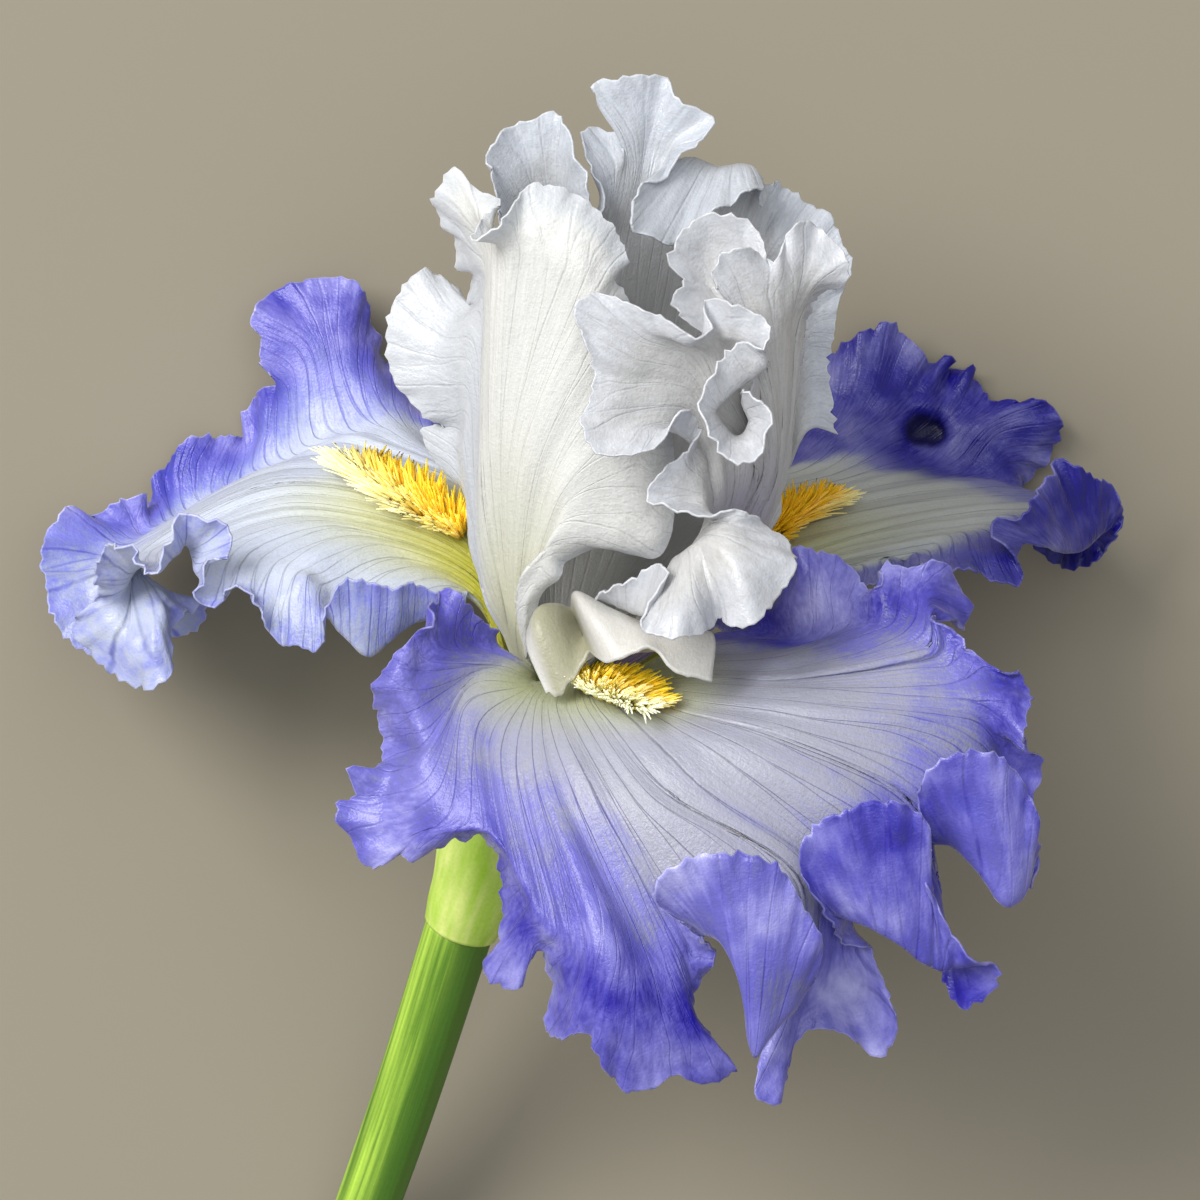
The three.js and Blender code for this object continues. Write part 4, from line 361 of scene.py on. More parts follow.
def petal(name, net, violet, green, frill, crimp, nick, fan, seed, material, dents_and_shade=()):
    """A petal in fine mesh: the net's surface with crimps, soft pleats and a nicked margin, the
    crimps as strong as "frill" says at some of the ribs. A dent is (x, y, radius, depth).

    UV map "across_along" holds the way across the petal and v. The attributes "violet" and "green" hold
    how strong its violet and haft colours are, the third one the painted shade of a dent, "along" v,
    "width" the row's length and "inward" the distance from the margin."""
    blade = petal_blade(net)
    bare, us, margin = nicked_columns(blade, frill, nick, seed)
    across = fan_places(blade, us)
    last = len(us) - 1
    bm, grid, layers, uv = bmesh_grid(last, PETAL_ROWS, PETAL_MARKS, "across_along")
    lengths = [sum((bare[i + 1][j][0] - bare[i][j][0]).length for i in range(last))
               for j in range(PETAL_ROWS + 1)]
    where = {}
    for i, u in enumerate(us):
        k = u * blade.last
        s = margin * i / last
        for j in range(PETAL_ROWS + 1):
            p, v, inward = bare[i][j]
            a, b = bare[max(i - 1, 0)][j][0], bare[min(i + 1, last)][j][0]
            n = (b - a).cross(bare[i][min(j + 1, PETAL_ROWS)][0] - bare[i][max(j - 1, 0)][0])
            n = n.normalized() if n.length > 1e-6 else Vector((0, 0, 1))
            ripple = 0
            for size, high, deep in FRILLS:
                wave = noise.noise((s / size, v * 0.8, seed + size))
                ripple += high * wave * math.exp(-max(inward, 0) / deep)
            ripple *= min((b - a).length / (2 * COLUMN_STEP), 1) * read(frill, k)[0]
            pleat = noise.noise((across[i] * fan, v * 0.7, seed + 9))
            pleat *= ease(0.14, 0.4, v) * (1 - ease(0.7, 1, v))
            lump = noise.noise((p.x / LUMP_LENGTH, p.y / LUMP_LENGTH, p.z / LUMP_LENGTH + seed))
            lump *= LUMP_HEIGHT * ease(0.4, 0.8, v)
            # a dent sinks the surface; its weight is painted shade, darkening the colour and making the
            # violet full there
            hollow = drop = 0
            for x, y, size, deep in dents_and_shade:
                near = math.exp(-(((p.x - x) ** 2 + (p.y - y) ** 2) / size ** 2) ** 2)
                hollow = max(hollow, near)
                drop = max(drop, near * deep)
            vert = grid[i][j]
            vert.co = place(p - Vector((0, 0, drop)) + n * crimp * (ripple + pleat + lump))
            start, end, full_tone = read(violet, k)
            uneven = v + 0.06 * noise.noise((across[i] * 14, v * 4, seed))
            vert[layers["violet"]] = max(full_tone * ease(start, end, uneven), hollow)
            vert[layers["green"]] = (1 - ease(0.3, 1, v / read(green, k)[0])) * (1 - hollow)
            vert[layers["hollow"]] = hollow
            vert[layers["along"]] = v
            vert[layers["width"]] = lengths[j]
            vert[layers["inward"]] = inward
            where[vert] = (across[i], v)
    smooth_and_map(bm, uv, where)
    return new_sheet(name, bm, PETAL_THICKNESS, MARGIN_THICKNESS, material), blade


def wire(tree, socket, value):
    """Links a socket, or writes its value."""
    if isinstance(value, bpy.types.NodeSocket):
        tree.links.new(value, socket)
    else:
        socket.default_value = value


def calc(tree, operation, *values):
    """A sum of values or sockets, by the name of its operation."""
    node = tree.nodes.new("ShaderNodeMath")
    node.operation = operation
    for socket, value in zip(node.inputs, values):
        wire(tree, socket, value)
    return node.outputs[0]


def add(tree, a, b):
    return calc(tree, "ADD", a, b)


def less(tree, a, b):
    return calc(tree, "SUBTRACT", a, b)


def times(tree, a, b):
    return calc(tree, "MULTIPLY", a, b)


def ramp(tree, value, low, high, to_low=0.0, to_high=1.0):
    """Smooth step of a value between low and high."""
    node = tree.nodes.new("ShaderNodeMapRange")
    node.interpolation_type = "SMOOTHSTEP"
    for key, item in (("Value", value), ("From Min", low), ("From Max", high),
                      ("To Min", to_low), ("To Max", to_high)):
        wire(tree, node.inputs[key], item)
    return node.outputs["Result"]


def blend(tree, factor, a, b):
    """From colour a to colour b by the factor."""
    node = tree.nodes.new("ShaderNodeMix")
    node.data_type = "RGBA"
    for key, item in (("Factor", factor), ("A", a), ("B", b)):
        wire(tree, node.inputs[key], item)
    return node.outputs["Result"]


def retone(tree, colour, saturation, value):
    """A colour with its saturation and its brightness multiplied."""
    node = tree.nodes.new("ShaderNodeHueSaturation")
    for key, item in (("Color", colour), ("Saturation", saturation), ("Value", value)):
        wire(tree, node.inputs[key], item)
    return node.outputs["Color"]


def attribute(tree, name):
    """A marking that the mesh holds."""
    node = tree.nodes.new("ShaderNodeAttribute")
    node.attribute_name = name
    return node.outputs["Fac"]


def speckle(tree, vector, scale, detail=2.0, rough=0.5):
    """Soft noise with so many waves to the vector's unit."""
    node = tree.nodes.new("ShaderNodeTexNoise")
    wire(tree, node.inputs["Vector"], vector)
    node.inputs["Scale"].default_value = scale
    node.inputs["Detail"].default_value = detail
    node.inputs["Roughness"].default_value = rough
    return node.outputs["Fac"]


def streaks(tree, vector, waves, detail=2.0, rough=0.5):
    """The same noise with its own number of waves each way."""
    node = tree.nodes.new("ShaderNodeVectorMath")
    node.operation = "MULTIPLY"
    wire(tree, node.inputs[0], vector)
    node.inputs[1].default_value = waves
    return speckle(tree, node.outputs[0], 1.0, detail, rough)


def relief(tree, height, strength, depth, over=None):
    """Bumps of a depth in millimetres, over other bumps where they are given."""
    node = tree.nodes.new("ShaderNodeBump")
    node.inputs["Strength"].default_value = strength
    node.inputs["Distance"].default_value = depth * MM
    tree.links.new(height, node.inputs["Height"])
    if over:
        tree.links.new(over, node.inputs["Normal"])
    return node.outputs["Normal"]


def node_group(name, inputs, outputs):
    """An empty shader group with its sockets."""
    group = bpy.data.node_groups.new(name, "ShaderNodeTree")
    for socket, kind, value in inputs:
        item = group.interface.new_socket(socket, in_out="INPUT", socket_type=kind)
        if value is not None:
            item.default_value = value
    for socket, kind in outputs:
        group.interface.new_socket(socket, in_out="OUTPUT", socket_type=kind)
    return group, group.nodes.new("NodeGroupInput"), group.nodes.new("NodeGroupOutput")


def new_material(name):
    """An empty material and its node tree."""
    material = bpy.data.materials.new(name)
    material.use_nodes = True
    material.node_tree.nodes.clear()
    return material, material.node_tree


def finish_tissue(tree, colour, normal, roughness, specular, glow):
    """Ends a plant material: a skin that lets the share "glow" of the light through."""
    skin = tree.nodes.new("ShaderNodeBsdfPrincipled")
    tree.links.new(colour, skin.inputs["Base Color"])
    if normal:
        tree.links.new(normal, skin.inputs["Normal"])
    skin.inputs["Roughness"].default_value = roughness
    skin.inputs["Specular IOR Level"].default_value = specular
    through = tree.nodes.new("ShaderNodeBsdfTranslucent")
    tree.links.new(colour, through.inputs["Color"])
    mix = tree.nodes.new("ShaderNodeMixShader")
    mix.inputs[0].default_value = glow
    tree.links.new(skin.outputs[0], mix.inputs[1])
    tree.links.new(through.outputs[0], mix.inputs[2])
    out = tree.nodes.new("ShaderNodeOutputMaterial")
    tree.links.new(mix.outputs[0], out.inputs["Surface"])
    return skin


# Waves across and along a petal of what makes its veins uneven, and how many lanes each moves them.
VEIN_WANDER = ((5, 1.3, 1), 1.2)
VEIN_SPREAD = ((26, 0.3, 1), 0.5)
VEIN_WIGGLE = ((50, 14, 1), 0.07)
VEIN_FORKS = (14, 0, 1)
VEIN_GAPS = (30, 9, 1)
PETAL_GRAIN = (340, 22, 1)
VEIN_FADE = 2.6                             # half widths from a vein's middle to nothing
VEIN_DEPTH = 0.55
GRAIN_HEIGHT = 0.55


def make_vein_group():
    """Veins that fan out from the haft and fork twice on the way, and the fine grain between them.

    Half width is in millimetres. Out come how much vein, how much grain, and a height for bump."""
    tree, source, sink = node_group(
        "petal_veins",
        [("Across Along", "NodeSocketVector", None), ("Width", "NodeSocketFloat", 60.0),
         ("Veins", "NodeSocketFloat", 24.0), ("Half Width", "NodeSocketFloat", 0.1),
         ("Seed", "NodeSocketFloat", 0.0)],
        [("Vein", "NodeSocketFloat"), ("Grain", "NodeSocketFloat"), ("Height", "NodeSocketFloat")])
    split = tree.nodes.new("ShaderNodeSeparateXYZ")
    tree.links.new(source.outputs["Across Along"], split.inputs[0])
    across, along = split.outputs[0], split.outputs[1]
    spot = tree.nodes.new("ShaderNodeCombineXYZ")
    for socket, value in zip(spot.inputs, (across, along, source.outputs["Seed"])):
        tree.links.new(value, socket)
    spot = spot.outputs[0]
    count = source.outputs["Veins"]
    lane = times(tree, across, count)
    for waves, lanes in (VEIN_WANDER, VEIN_SPREAD, VEIN_WIGGLE):
        lane = add(tree, lane, times(tree, streaks(tree, spot, waves), lanes))
    fork = times(tree, less(tree, streaks(tree, spot, VEIN_FORKS), 0.5), 0.5)
    first = ramp(tree, add(tree, along, fork), 0.36, 0.72, 0.0, 0.5)
    second = ramp(tree, less(tree, along, fork), 0.6, 1.0, 0.0, 0.25)
    apart = calc(tree, "DIVIDE", source.outputs["Width"], count)
    wide = times(tree, source.outputs["Half Width"], VEIN_FADE)
    lines = 0.0
    for shift, weight in ((0.0, 1.0), (first, 0.8), (times(tree, second, -1.0), 0.55),
                          (add(tree, first, second), 0.55)):
        off = less(tree, calc(tree, "FRACT", add(tree, lane, shift)), 0.5)
        far = times(tree, calc(tree, "ABSOLUTE", off), apart)
        line = times(tree, ramp(tree, far, 0.0, wide, 1.0, 0.0), weight)
        lines = calc(tree, "MAXIMUM", lines, line)
    broken = ramp(tree, streaks(tree, spot, VEIN_GAPS), 0.25, 0.6, 0.35, 1.0)
    vein = times(tree, lines, broken)
    grain = streaks(tree, spot, PETAL_GRAIN, 4.0, 0.6)
    height = less(tree, times(tree, grain, GRAIN_HEIGHT), times(tree, vein, VEIN_DEPTH))
    for key, value in (("Vein", vein), ("Grain", grain), ("Height", height)):
        tree.links.new(value, sink.inputs[key])
    return tree


PETAL_VEINS = make_vein_group()

# Waves a metre, and detail, of the flaws in a petal's colour.
CLOUDS = (110.0, 3.0)
PATCHES = (55.0, 2.0)
CELLS = (2600.0, 1.0)
DROPS = (900.0, 2.0)


def make_petal_colour_group():
    """Colour of a petal from its centre, margin, haft and vein colours and its markings."""
    tree, source, sink = node_group(
        "petal_colour",
        [(key, "NodeSocketColor", None) for key in ("Centre", "Margin", "Haft", "Vein Colour", "Edge")]
        + [("Vein", "NodeSocketFloat", 0.0), ("Grain", "NodeSocketFloat", 0.5),
           ("Vein Strength", "NodeSocketFloat", 0.5), ("Mottle", "NodeSocketFloat", 1.0)],
        [("Colour", "NodeSocketColor"), ("Bump", "NodeSocketFloat")])
    given = source.outputs
    grain, vein = given["Grain"], given["Vein"]
    marked, hollow = attribute(tree, "violet"), attribute(tree, "hollow")
    where = tree.nodes.new("ShaderNodeTexCoord").outputs["Object"]
    cloud, patch, cells, drops = (speckle(tree, where, *size) for size in (CLOUDS, PATCHES, CELLS, DROPS))
    # the violet, its border broken by clouds and grain, and drawn out along the veins
    ragged = times(tree, less(tree, cloud, 0.5), ramp(tree, marked, 0.0, 0.35))
    violet = add(tree, marked, ragged)
    violet = add(tree, violet, times(tree, less(tree, grain, 0.5), 0.75))
    violet = add(tree, violet, times(tree, vein, 0.2))
    tone = blend(tree, ramp(tree, violet, 0.0, 1.0), given["Centre"], given["Margin"])
    # the haft colour: the falls' own yellow-green and the left standard's cream, but painted shade on the
    # right standard and partly on the style arm
    tone = blend(tree, attribute(tree, "green"), tone, given["Haft"])
    rim = ramp(tree, attribute(tree, "inward"), 0.02, 0.3, 0.3, 0.0)
    tone = blend(tree, rim, tone, given["Edge"])
    # veins: their own colour on the pale part, a deeper shade of the petal's on the violet
    deepened = retone(tree, tone, 1.15, 0.55)
    vein_tone = blend(tree, ramp(tree, marked, 0.1, 0.6), given["Vein Colour"], deepened)
    fade = times(tree, given["Vein Strength"], ramp(tree, marked, 0.2, 1.0, 1.0, 0.45))
    tone = blend(tree, times(tree, vein, fade), tone, vein_tone)
    # blotches that lighten and pale the violet, and painted shade inside a dent's fold, darker and richer in
    # colour
    blotch = add(tree, times(tree, patch, 1.5), times(tree, cloud, 1.2))
    blotch = less(tree, add(tree, blotch, times(tree, grain, 0.6)), 1.65)
    uneven = times(tree, times(tree, blotch, given["Mottle"]), ramp(tree, marked, 0.0, 0.8))
    # the grain's and the cells' fine pale streaks and specks: partly the tissue's own grain, partly painted
    # sparkle
    light = add(tree, add(tree, uneven, times(tree, cells, 0.14)), add(tree, 0.7, times(tree, grain, 0.46)))
    light = times(tree, light, ramp(tree, hollow, 0.15, 0.85, 1.0, 0.16))
    between = times(tree, ramp(tree, violet, 0.1, 0.5), ramp(tree, violet, 0.5, 1.0, 0.35, 0.0))
    rich = add(tree, add(tree, 1.05, between), times(tree, hollow, 0.4))
    rich = less(tree, rich, times(tree, uneven, 0.9))
    tree.links.new(retone(tree, tone, rich, light), sink.inputs["Colour"])
    bumps = add(tree, times(tree, cells, 0.35), times(tree, drops, 0.5))
    tree.links.new(bumps, sink.inputs["Bump"])
    return tree


PETAL_COLOUR = make_petal_colour_group()


def petal_material(name, centre, margin, haft, vein, edge, veins, half_width, strength, mottle,
                   veining, glow, seed):
    """Petal tissue: a satin skin with fine cells that lets some light through."""
    material, tree = new_material(name)
    coordinates = tree.nodes.new("ShaderNodeUVMap")
    coordinates.uv_map = "across_along"
    lines = tree.nodes.new("ShaderNodeGroup")
    lines.node_tree = PETAL_VEINS
    for key, value in (("Across Along", coordinates.outputs[0]), ("Width", attribute(tree, "width")),
                       ("Veins", veins), ("Half Width", half_width), ("Seed", seed)):
        wire(tree, lines.inputs[key], value)
    paint = tree.nodes.new("ShaderNodeGroup")
    paint.node_tree = PETAL_COLOUR
    for key, value in (("Centre", (*centre, 1)), ("Margin", (*margin, 1)), ("Haft", (*haft, 1)),
                       ("Vein Colour", (*vein, 1)), ("Edge", (*edge, 1)), ("Vein", lines.outputs["Vein"]),
                       ("Grain", lines.outputs["Grain"]), ("Vein Strength", strength), ("Mottle", mottle)):
        wire(tree, paint.inputs[key], value)
    veined = relief(tree, lines.outputs["Height"], veining, 0.4)
    pebbled = relief(tree, paint.outputs["Bump"], 0.8, 0.26, veined)
    skin = finish_tissue(tree, paint.outputs["Colour"], pebbled, 0.34, 0.6, glow)
    skin.inputs["Sheen Weight"].default_value = 0.3
    skin.inputs["Sheen Roughness"].default_value = 0.35
    return material


front_fall_skin = petal_material(
    "front_fall_skin", centre=(0.4, 0.405, 0.49), margin=(0.18, 0.17, 0.57), haft=(0.47, 0.5, 0.24),
    vein=(0.07, 0.075, 0.1), edge=(0.62, 0.62, 0.92), veins=33, half_width=0.11, strength=0.55,
    mottle=0.65, veining=0.5, glow=0.18, seed=3.0)
front_fall, FRONT_BLADE = petal(
    "front_fall", FRONT_FALL, FRONT_FALL_VIOLET, FRONT_FALL_GREEN, EVEN_FRILL, crimp=0.75,
    nick=0.8, fan=26, seed=11, material=front_fall_skin)
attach(front_fall, "root")
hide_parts("fall_front")

# ---------------------------------------------------------------- side falls
# The left and right falls reach out level and droop to the table, their far edges turned up and
# curled. The left one is paler and brighter, partly painted light; the right one is darker, partly
# painted shade, with a deep fold sunk as a dent and darkened with painted shade.
LEFT_FALL = {
    "root": [
        (0, -14, -11.8, -1.6), (40, -12.4, -10.9, -3.9), (68, -10.8, -10, -6.3)],
    "haft": [
        (0, -16.5, -4, -3), (10, -19, 3, -3.5), (26, -20.5, 8, -5), (42, -21, 11.5, -8.5),
        (52, -18, 14.5, -15), (68, -13.5, 13, -21)],
    "mid": [
        (0, -18.5, -0.5, -2.5), (5, -28, 5, -4), (10, -36, 9.5, -6.5), (18, -44, 13, -9),
        (30, -47, 17, -13), (42, -48.5, 19, -18), (48, -46.5, 21, -24), (53, -44, 22, -29),
        (58, -37, 24.5, -29.5), (63, -30, 24.5, -29), (68, -20, 19, -28)],
    "ribs": [
        ((-20, 1, -2), (-20.5, -0.5, 0), (-21, 1, 2.5)), ((-24, 0.5, -1), (-25, -2.5, 2), (-25, 1.6, 4)),
        ((-28, 0.5, 0), (-29, -4.5, 3.5), (-28.3, 2.8, 6)),
        ((-31.5, 0.5, 0.5), (-32, -6.5, 4.5), (-31.5, 2.2, 7)),
        ((-34.5, 0.8, 1), (-35, -8.4, 5), (-34.5, 3.2, 8)), ((-37, 1.5, 1), (-38, -6, 5), (-38.8, 3.5, 8)),
        ((-39, 2.5, 1), (-40.5, -2.5, 5), (-41.5, -1, 8)), ((-41, 3.5, 0.5), (-43, 1, 4), (-42, -8.3, 8)),
        ((-43, 4.5, 0.5), (-45, 3, 4), (-45.5, -7.5, 6)), ((-45, 5.5, 0), (-48, 0, 4), (-48.5, -7, 5)),
        ((-47.5, 6, -0.5), (-50, 0, 3.5), (-51.8, -3, 5)),
        ((-50, 6.5, -1), (-52.5, 1.8, 3), (-51.6, 0, 6)), ((-52, 7, -2), (-54.5, 2.5, 2), (-55, 1.6, 4)),
        ((-54, 7.5, -3), (-57.5, 1.5, 1.5), (-59.5, -1, 3)), ((-56, 8, -4), (-60.5, 3, 1), (-61.7, 2, 5)),
        ((-57.6, 8.3, -5), (-61.5, 4, 1.5), (-59.5, 5.3, 6)),
        ((-59, 8.4, -6), (-61.8, 5.2, 1.5), (-56.5, 6.2, 7)),
        ((-60.3, 8.5, -7.2), (-61.5, 6.6, 1.2), (-55.3, 9, 7.5)),
        ((-61.5, 8.6, -8.4), (-61.5, 8, 1), (-57, 11.8, 7.5)),
        ((-62.6, 8.6, -9.6), (-62.5, 8.8, 0.6), (-61.6, 13, 6.5)),
        ((-63.6, 8.5, -10.8), (-63.8, 8, 0.2), (-65, 11.5, 6)),
        ((-64.5, 8.4, -12), (-64.8, 6.8, -0.2), (-66.3, 8.5, 5.5)),
        ((-65.3, 8.3, -13.2), (-65.8, 5.4, -0.8), (-66.9, 4.6, 5)),
        ((-66, 8.2, -14.4), (-67.2, 4.8, -2), (-69.3, 3.4, 4)),
        ((-66.7, 8.1, -15.5), (-69, 5.2, -3.5), (-70.9, 6, 3.2)),
        ((-67.4, 8, -16.6), (-70.5, 5.6, -5), (-72.6, 8.6, 2)),
        ((-68, 7.9, -17.6), (-71.8, 4.8, -8), (-75.8, 8.3, -3)),
        ((-68.6, 7.8, -18.6), (-72.6, 3.4, -10), (-77.6, 4.8, -8)),
        ((-69.1, 7.7, -19.5), (-73.4, 1.6, -12), (-77.4, 0.6, -13)),
        ((-69.5, 7.6, -20.3), (-74.2, -0.4, -13.2), (-81.2, -3.4, -17)),
        ((-69.9, 7.5, -21), (-73.6, -2.8, -13), (-79.8, -7.6, -17)),
        ((-70.2, 7.4, -21.7), (-72, -4.8, -11.6), (-75.8, -11.5, -15)),
        ((-70.5, 7.3, -22.3), (-70, -5.2, -9.8), (-70.3, -13.9, -11.5)),
        ((-70.7, 7.2, -22.9), (-68, -3.8, -9), (-66.2, -12.5, -9)),
        ((-70.9, 7.2, -23.5), (-67, -0.8, -11.5), (-65.6, -5.5, -11.5)),
        ((-71.1, 7.2, -24.1), (-67, 1.4, -17), (-61.4, -0.6, -17.5)),
        ((-71.3, 7.3, -24.8), (-69.3, 1.8, -21.5), (-61, -3.8, -22)),
        ((-71.5, 7.4, -25.6), (-72.5, 0.4, -24.4), (-66.5, -6.8, -25.5)),
        ((-71.7, 7.5, -26.4), (-75, -0.3, -26), (-74.5, -10.3, -26.3)),
        ((-71.9, 7.7, -27.3), (-76.8, 0.9, -27.4), (-81.6, -7.7, -27)),
        ((-72.1, 7.9, -28.3), (-78, 2.6, -29), (-85.4, -2.2, -28.3)),
        ((-72.2, 8.1, -29.4), (-78.5, 4.8, -30.8), (-86.2, 2.5, -29.8)),
        ((-72.4, 8.5, -31), (-78.5, 7, -33), (-87.3, 7, -32)),
        ((-72.4, 9, -32.5), (-78, 9, -35), (-85.5, 12.3, -34)),
        ((-72, 9.5, -34), (-76.5, 10.5, -36.5), (-82, 15.4, -36)),
        ((-71.3, 10, -35.3), (-75, 11, -38), (-80, 12.8, -40)),
        ((-70.3, 10.5, -36.5), (-73.3, 12, -39), (-76, 15.5, -38.5)),
        ((-69, 11, -37.5), (-71.5, 13, -40), (-72.5, 16.5, -41)),
        ((-67.3, 11.7, -38.5), (-69.5, 13.5, -42), (-70.5, 14.5, -45)),
        ((-65.5, 12.5, -39.5), (-68, 16, -44), (-69.3, 20, -46)),
        ((-63.5, 13.5, -40.3), (-66, 19, -44.5), (-65.7, 24.5, -46)),
        ((-61.5, 14.7, -41), (-63, 20.5, -44.5), (-61.5, 26.3, -46)),
        ((-59.5, 16, -41.5), (-60, 21, -44.5), (-57.5, 26.3, -47)),
        ((-57.5, 17.3, -42), (-57, 21.5, -45), (-55.7, 26, -49.7)),
        ((-55.5, 18.6, -42), (-55, 24, -46), (-56, 29.5, -47)),
        ((-53, 20, -41.5), (-53, 27.5, -44), (-54, 33, -44)),
        ((-50.5, 21.5, -40.5), (-51, 30, -42), (-50.3, 34.3, -41)),
        ((-48, 23, -39.5), (-49, 32.5, -40), (-53.4, 37.5, -40)),
        ((-45.5, 24.5, -38.5), (-47.5, 36, -39), (-53.2, 41, -40)),
        ((-43.3, 26, -37.5), (-46, 38.5, -39), (-55, 44, -40.5)),
        ((-41, 27, -36.7), (-44.5, 40.5, -39), (-51.5, 48.7, -42)),
        ((-39, 28, -36), (-42.5, 41, -39), (-45, 50.6, -42)),
        ((-37, 28.7, -35.5), (-40, 40.5, -39), (-39, 50.7, -42)),
        ((-35, 29, -35), (-37.5, 38.5, -39.5), (-36.3, 46.5, -43)),
        ((-33, 29, -35), (-35, 36.5, -40), (-34.5, 40, -45)),
        ((-31, 28.5, -35), (-32, 34.5, -41), (-31, 38.5, -46)),
        ((-28.5, 27.5, -35), (-29, 31.5, -41), (-28, 34, -45.5)),
        ((-26, 26, -34), (-26, 28.5, -39), (-25.5, 30, -43)),
        ((-23, 23.5, -32), (-23, 25, -36), (-23, 26, -39))],
}
LEFT_FALL_VIOLET = [(0, 0.5, 1, 0.6), (8, 0.6, 1.1, 0.55), (22, 0.5, 1, 0.36), (30, 0.5, 1.05, 0.34),
                    (40, 0.5, 1.05, 0.5), (46, 0.46, 0.86, 0.85), (58, 0.5, 1, 0.95), (68, 0.3, 0.86, 1)]
LEFT_FALL_GREEN = [(0, 0.66), (12, 0.6), (34, 0.5), (48, 0.36), (68, 0.28)]
RIGHT_FALL = {
    "root": [
        (0, 0.2, -13.7, -1.6), (22, -1.2, -12.4, -4), (45, -2.6, -11, -6.3)],
    "haft": [
        (0, 9, -8.5, -2), (10, 14, -3, -5), (18, 15.5, 2, -9), (26, 15, 7, -14), (35, 13, 11, -19.5),
        (45, 9.5, 11.5, -25)],
    "mid": [
        (0, 11.5, -7, -2.5), (5, 25, 1, -7), (10, 34, 6, -11), (16, 41, 10.5, -15.5),
        (22, 45, 13.5, -20.5), (28, 44, 16.5, -26), (34, 38, 19, -31), (40, 30, 20, -33.5),
        (45, 17, 16, -31)],
    "ribs": [
        ((14, -5, -3), (14.5, -6, -1), (14.5, -6.5, 1)),
        ((20, -2, -4.5), (20.5, -3.5, -2.5), (20.5, -4.5, -1)),
        ((26, 0.5, -6), (26.5, -1.5, -4), (26.5, -3, -3)), ((31.5, 2.5, -8), (32, 0.5, -6), (32, -1, -5)),
        ((36.5, 4, -9.5), (37, 2, -8), (37, 0.5, -7)), ((41, 5.5, -11), (41.7, 3.5, -10), (42, 2.5, -9)),
        ((45, 6.7, -12.5), (46, 5, -11.5), (46.5, 4.5, -10.5)),
        ((48.5, 7.7, -14), (50, 5.8, -12.5), (50.5, 5, -11)),
        ((51.5, 8.7, -15.5), (53.5, 6, -13), (54, 3.2, -11)),
        ((54.2, 9.6, -17), (56.5, 6.8, -14), (58, 3, -12)),
        ((56.6, 10.4, -18.5), (59, 7, -14.5), (61, 2, -12)),
        ((58.8, 11.2, -20), (61.5, 7.5, -15), (64, 1.3, -12.5)),
        ((60.8, 11.9, -21.5), (63, 8, -16), (65, 4.3, -14)),
        ((62.6, 12.5, -23), (64.5, 8.7, -17), (62.8, 6.3, -13)),
        ((64, 13, -24.5), (66.5, 9, -18.5), (59.5, 9.3, -12.5)),
        ((65.2, 13.5, -26), (68.5, 8.5, -20), (60, 11.3, -12.5)),
        ((66.2, 14, -27.5), (70.5, 8, -22), (64.5, 13.3, -14)),
        ((67, 14.4, -29), (72, 7.5, -24), (67.3, 16.5, -16)),
        ((67.7, 14.7, -30.5), (73.5, 7.5, -26), (67.8, 18.7, -18)),
        ((68.3, 15, -32), (75, 8.5, -28), (72.3, 22, -21)),
        ((68.7, 15.2, -33.5), (76.5, 9.5, -30), (77, 18.7, -24)),
        ((69, 15.4, -35), (77.5, 10.5, -32), (80.3, 17, -27)),
        ((69, 15.6, -36.3), (77.5, 11, -34), (81.2, 12, -31)),
        ((68.8, 15.9, -37.5), (76.5, 10.5, -36), (79.5, 7.5, -35)),
        ((68.3, 16.3, -38.5), (74.5, 9.5, -38), (75, 4.5, -38)),
        ((67.5, 16.8, -39.3), (72, 10.5, -39.5), (70.5, 5, -41)),
        ((66.3, 17.3, -40), (69, 13.5, -41), (68.5, 9, -43.5)),
        ((64.5, 17.8, -40.5), (66, 17, -43), (65, 16.5, -46)),
        ((62, 18.3, -41), (64, 20, -44), (66, 18.5, -48)),
        ((59.5, 19, -41.3), (64, 22.5, -44), (71.5, 22.5, -47)),
        ((57, 19.7, -41.5), (63, 25, -43.5), (73, 26, -46)),
        ((54.5, 20.5, -41.5), (61.5, 27, -43), (71.5, 30, -45)),
        ((52.3, 21.3, -41.5), (59.5, 28, -43), (67.5, 32, -44.5)),
        ((50.2, 22.2, -41), (57.5, 28, -43.5), (62, 31, -46)),
        ((48, 23, -40.5), (55.5, 28, -44), (60.8, 33, -47)),
        ((46, 23.8, -40), (53.5, 29, -44), (58.5, 37.5, -47)),
        ((44, 24.4, -39.3), (51.5, 30.5, -43.5), (55.5, 36.5, -49.7)),
        ((42, 24.9, -38.6), (49.5, 31, -43), (54.5, 38.8, -47)),
        ((40, 25.2, -38), (47, 31.5, -42.5), (51, 37.5, -47)),
        ((38, 25.2, -37.5), (44, 32, -42), (48, 41, -46)),
        ((36, 25, -37), (41.5, 32, -41.5), (45.3, 44, -45)),
        ((34, 24.6, -36.5), (38.5, 31.5, -41), (41, 41.3, -45)),
        ((31.5, 24, -36), (35.5, 30.5, -41), (36, 40, -46)),
        ((29, 23, -35), (32, 29, -40.5), (32, 36, -46)),
        ((26, 21.5, -33), (28, 26, -38.5), (28, 30.5, -44)),
        ((22.5, 19.5, -30), (24, 22.5, -34.5), (24, 25, -39))],
}
RIGHT_FALL_VIOLET = [(0, 0.6, 0.9, 0.9), (10, 0.52, 0.86, 0.9), (20, 0.46, 0.78, 0.95), (28, 0.42, 0.7, 1),
                     (36, 0.4, 0.66, 1.1), (45, 0.36, 0.6, 1.1)]
RIGHT_FALL_GREEN = [(0, 0.62), (14, 0.58), (26, 0.44), (45, 0.26)]
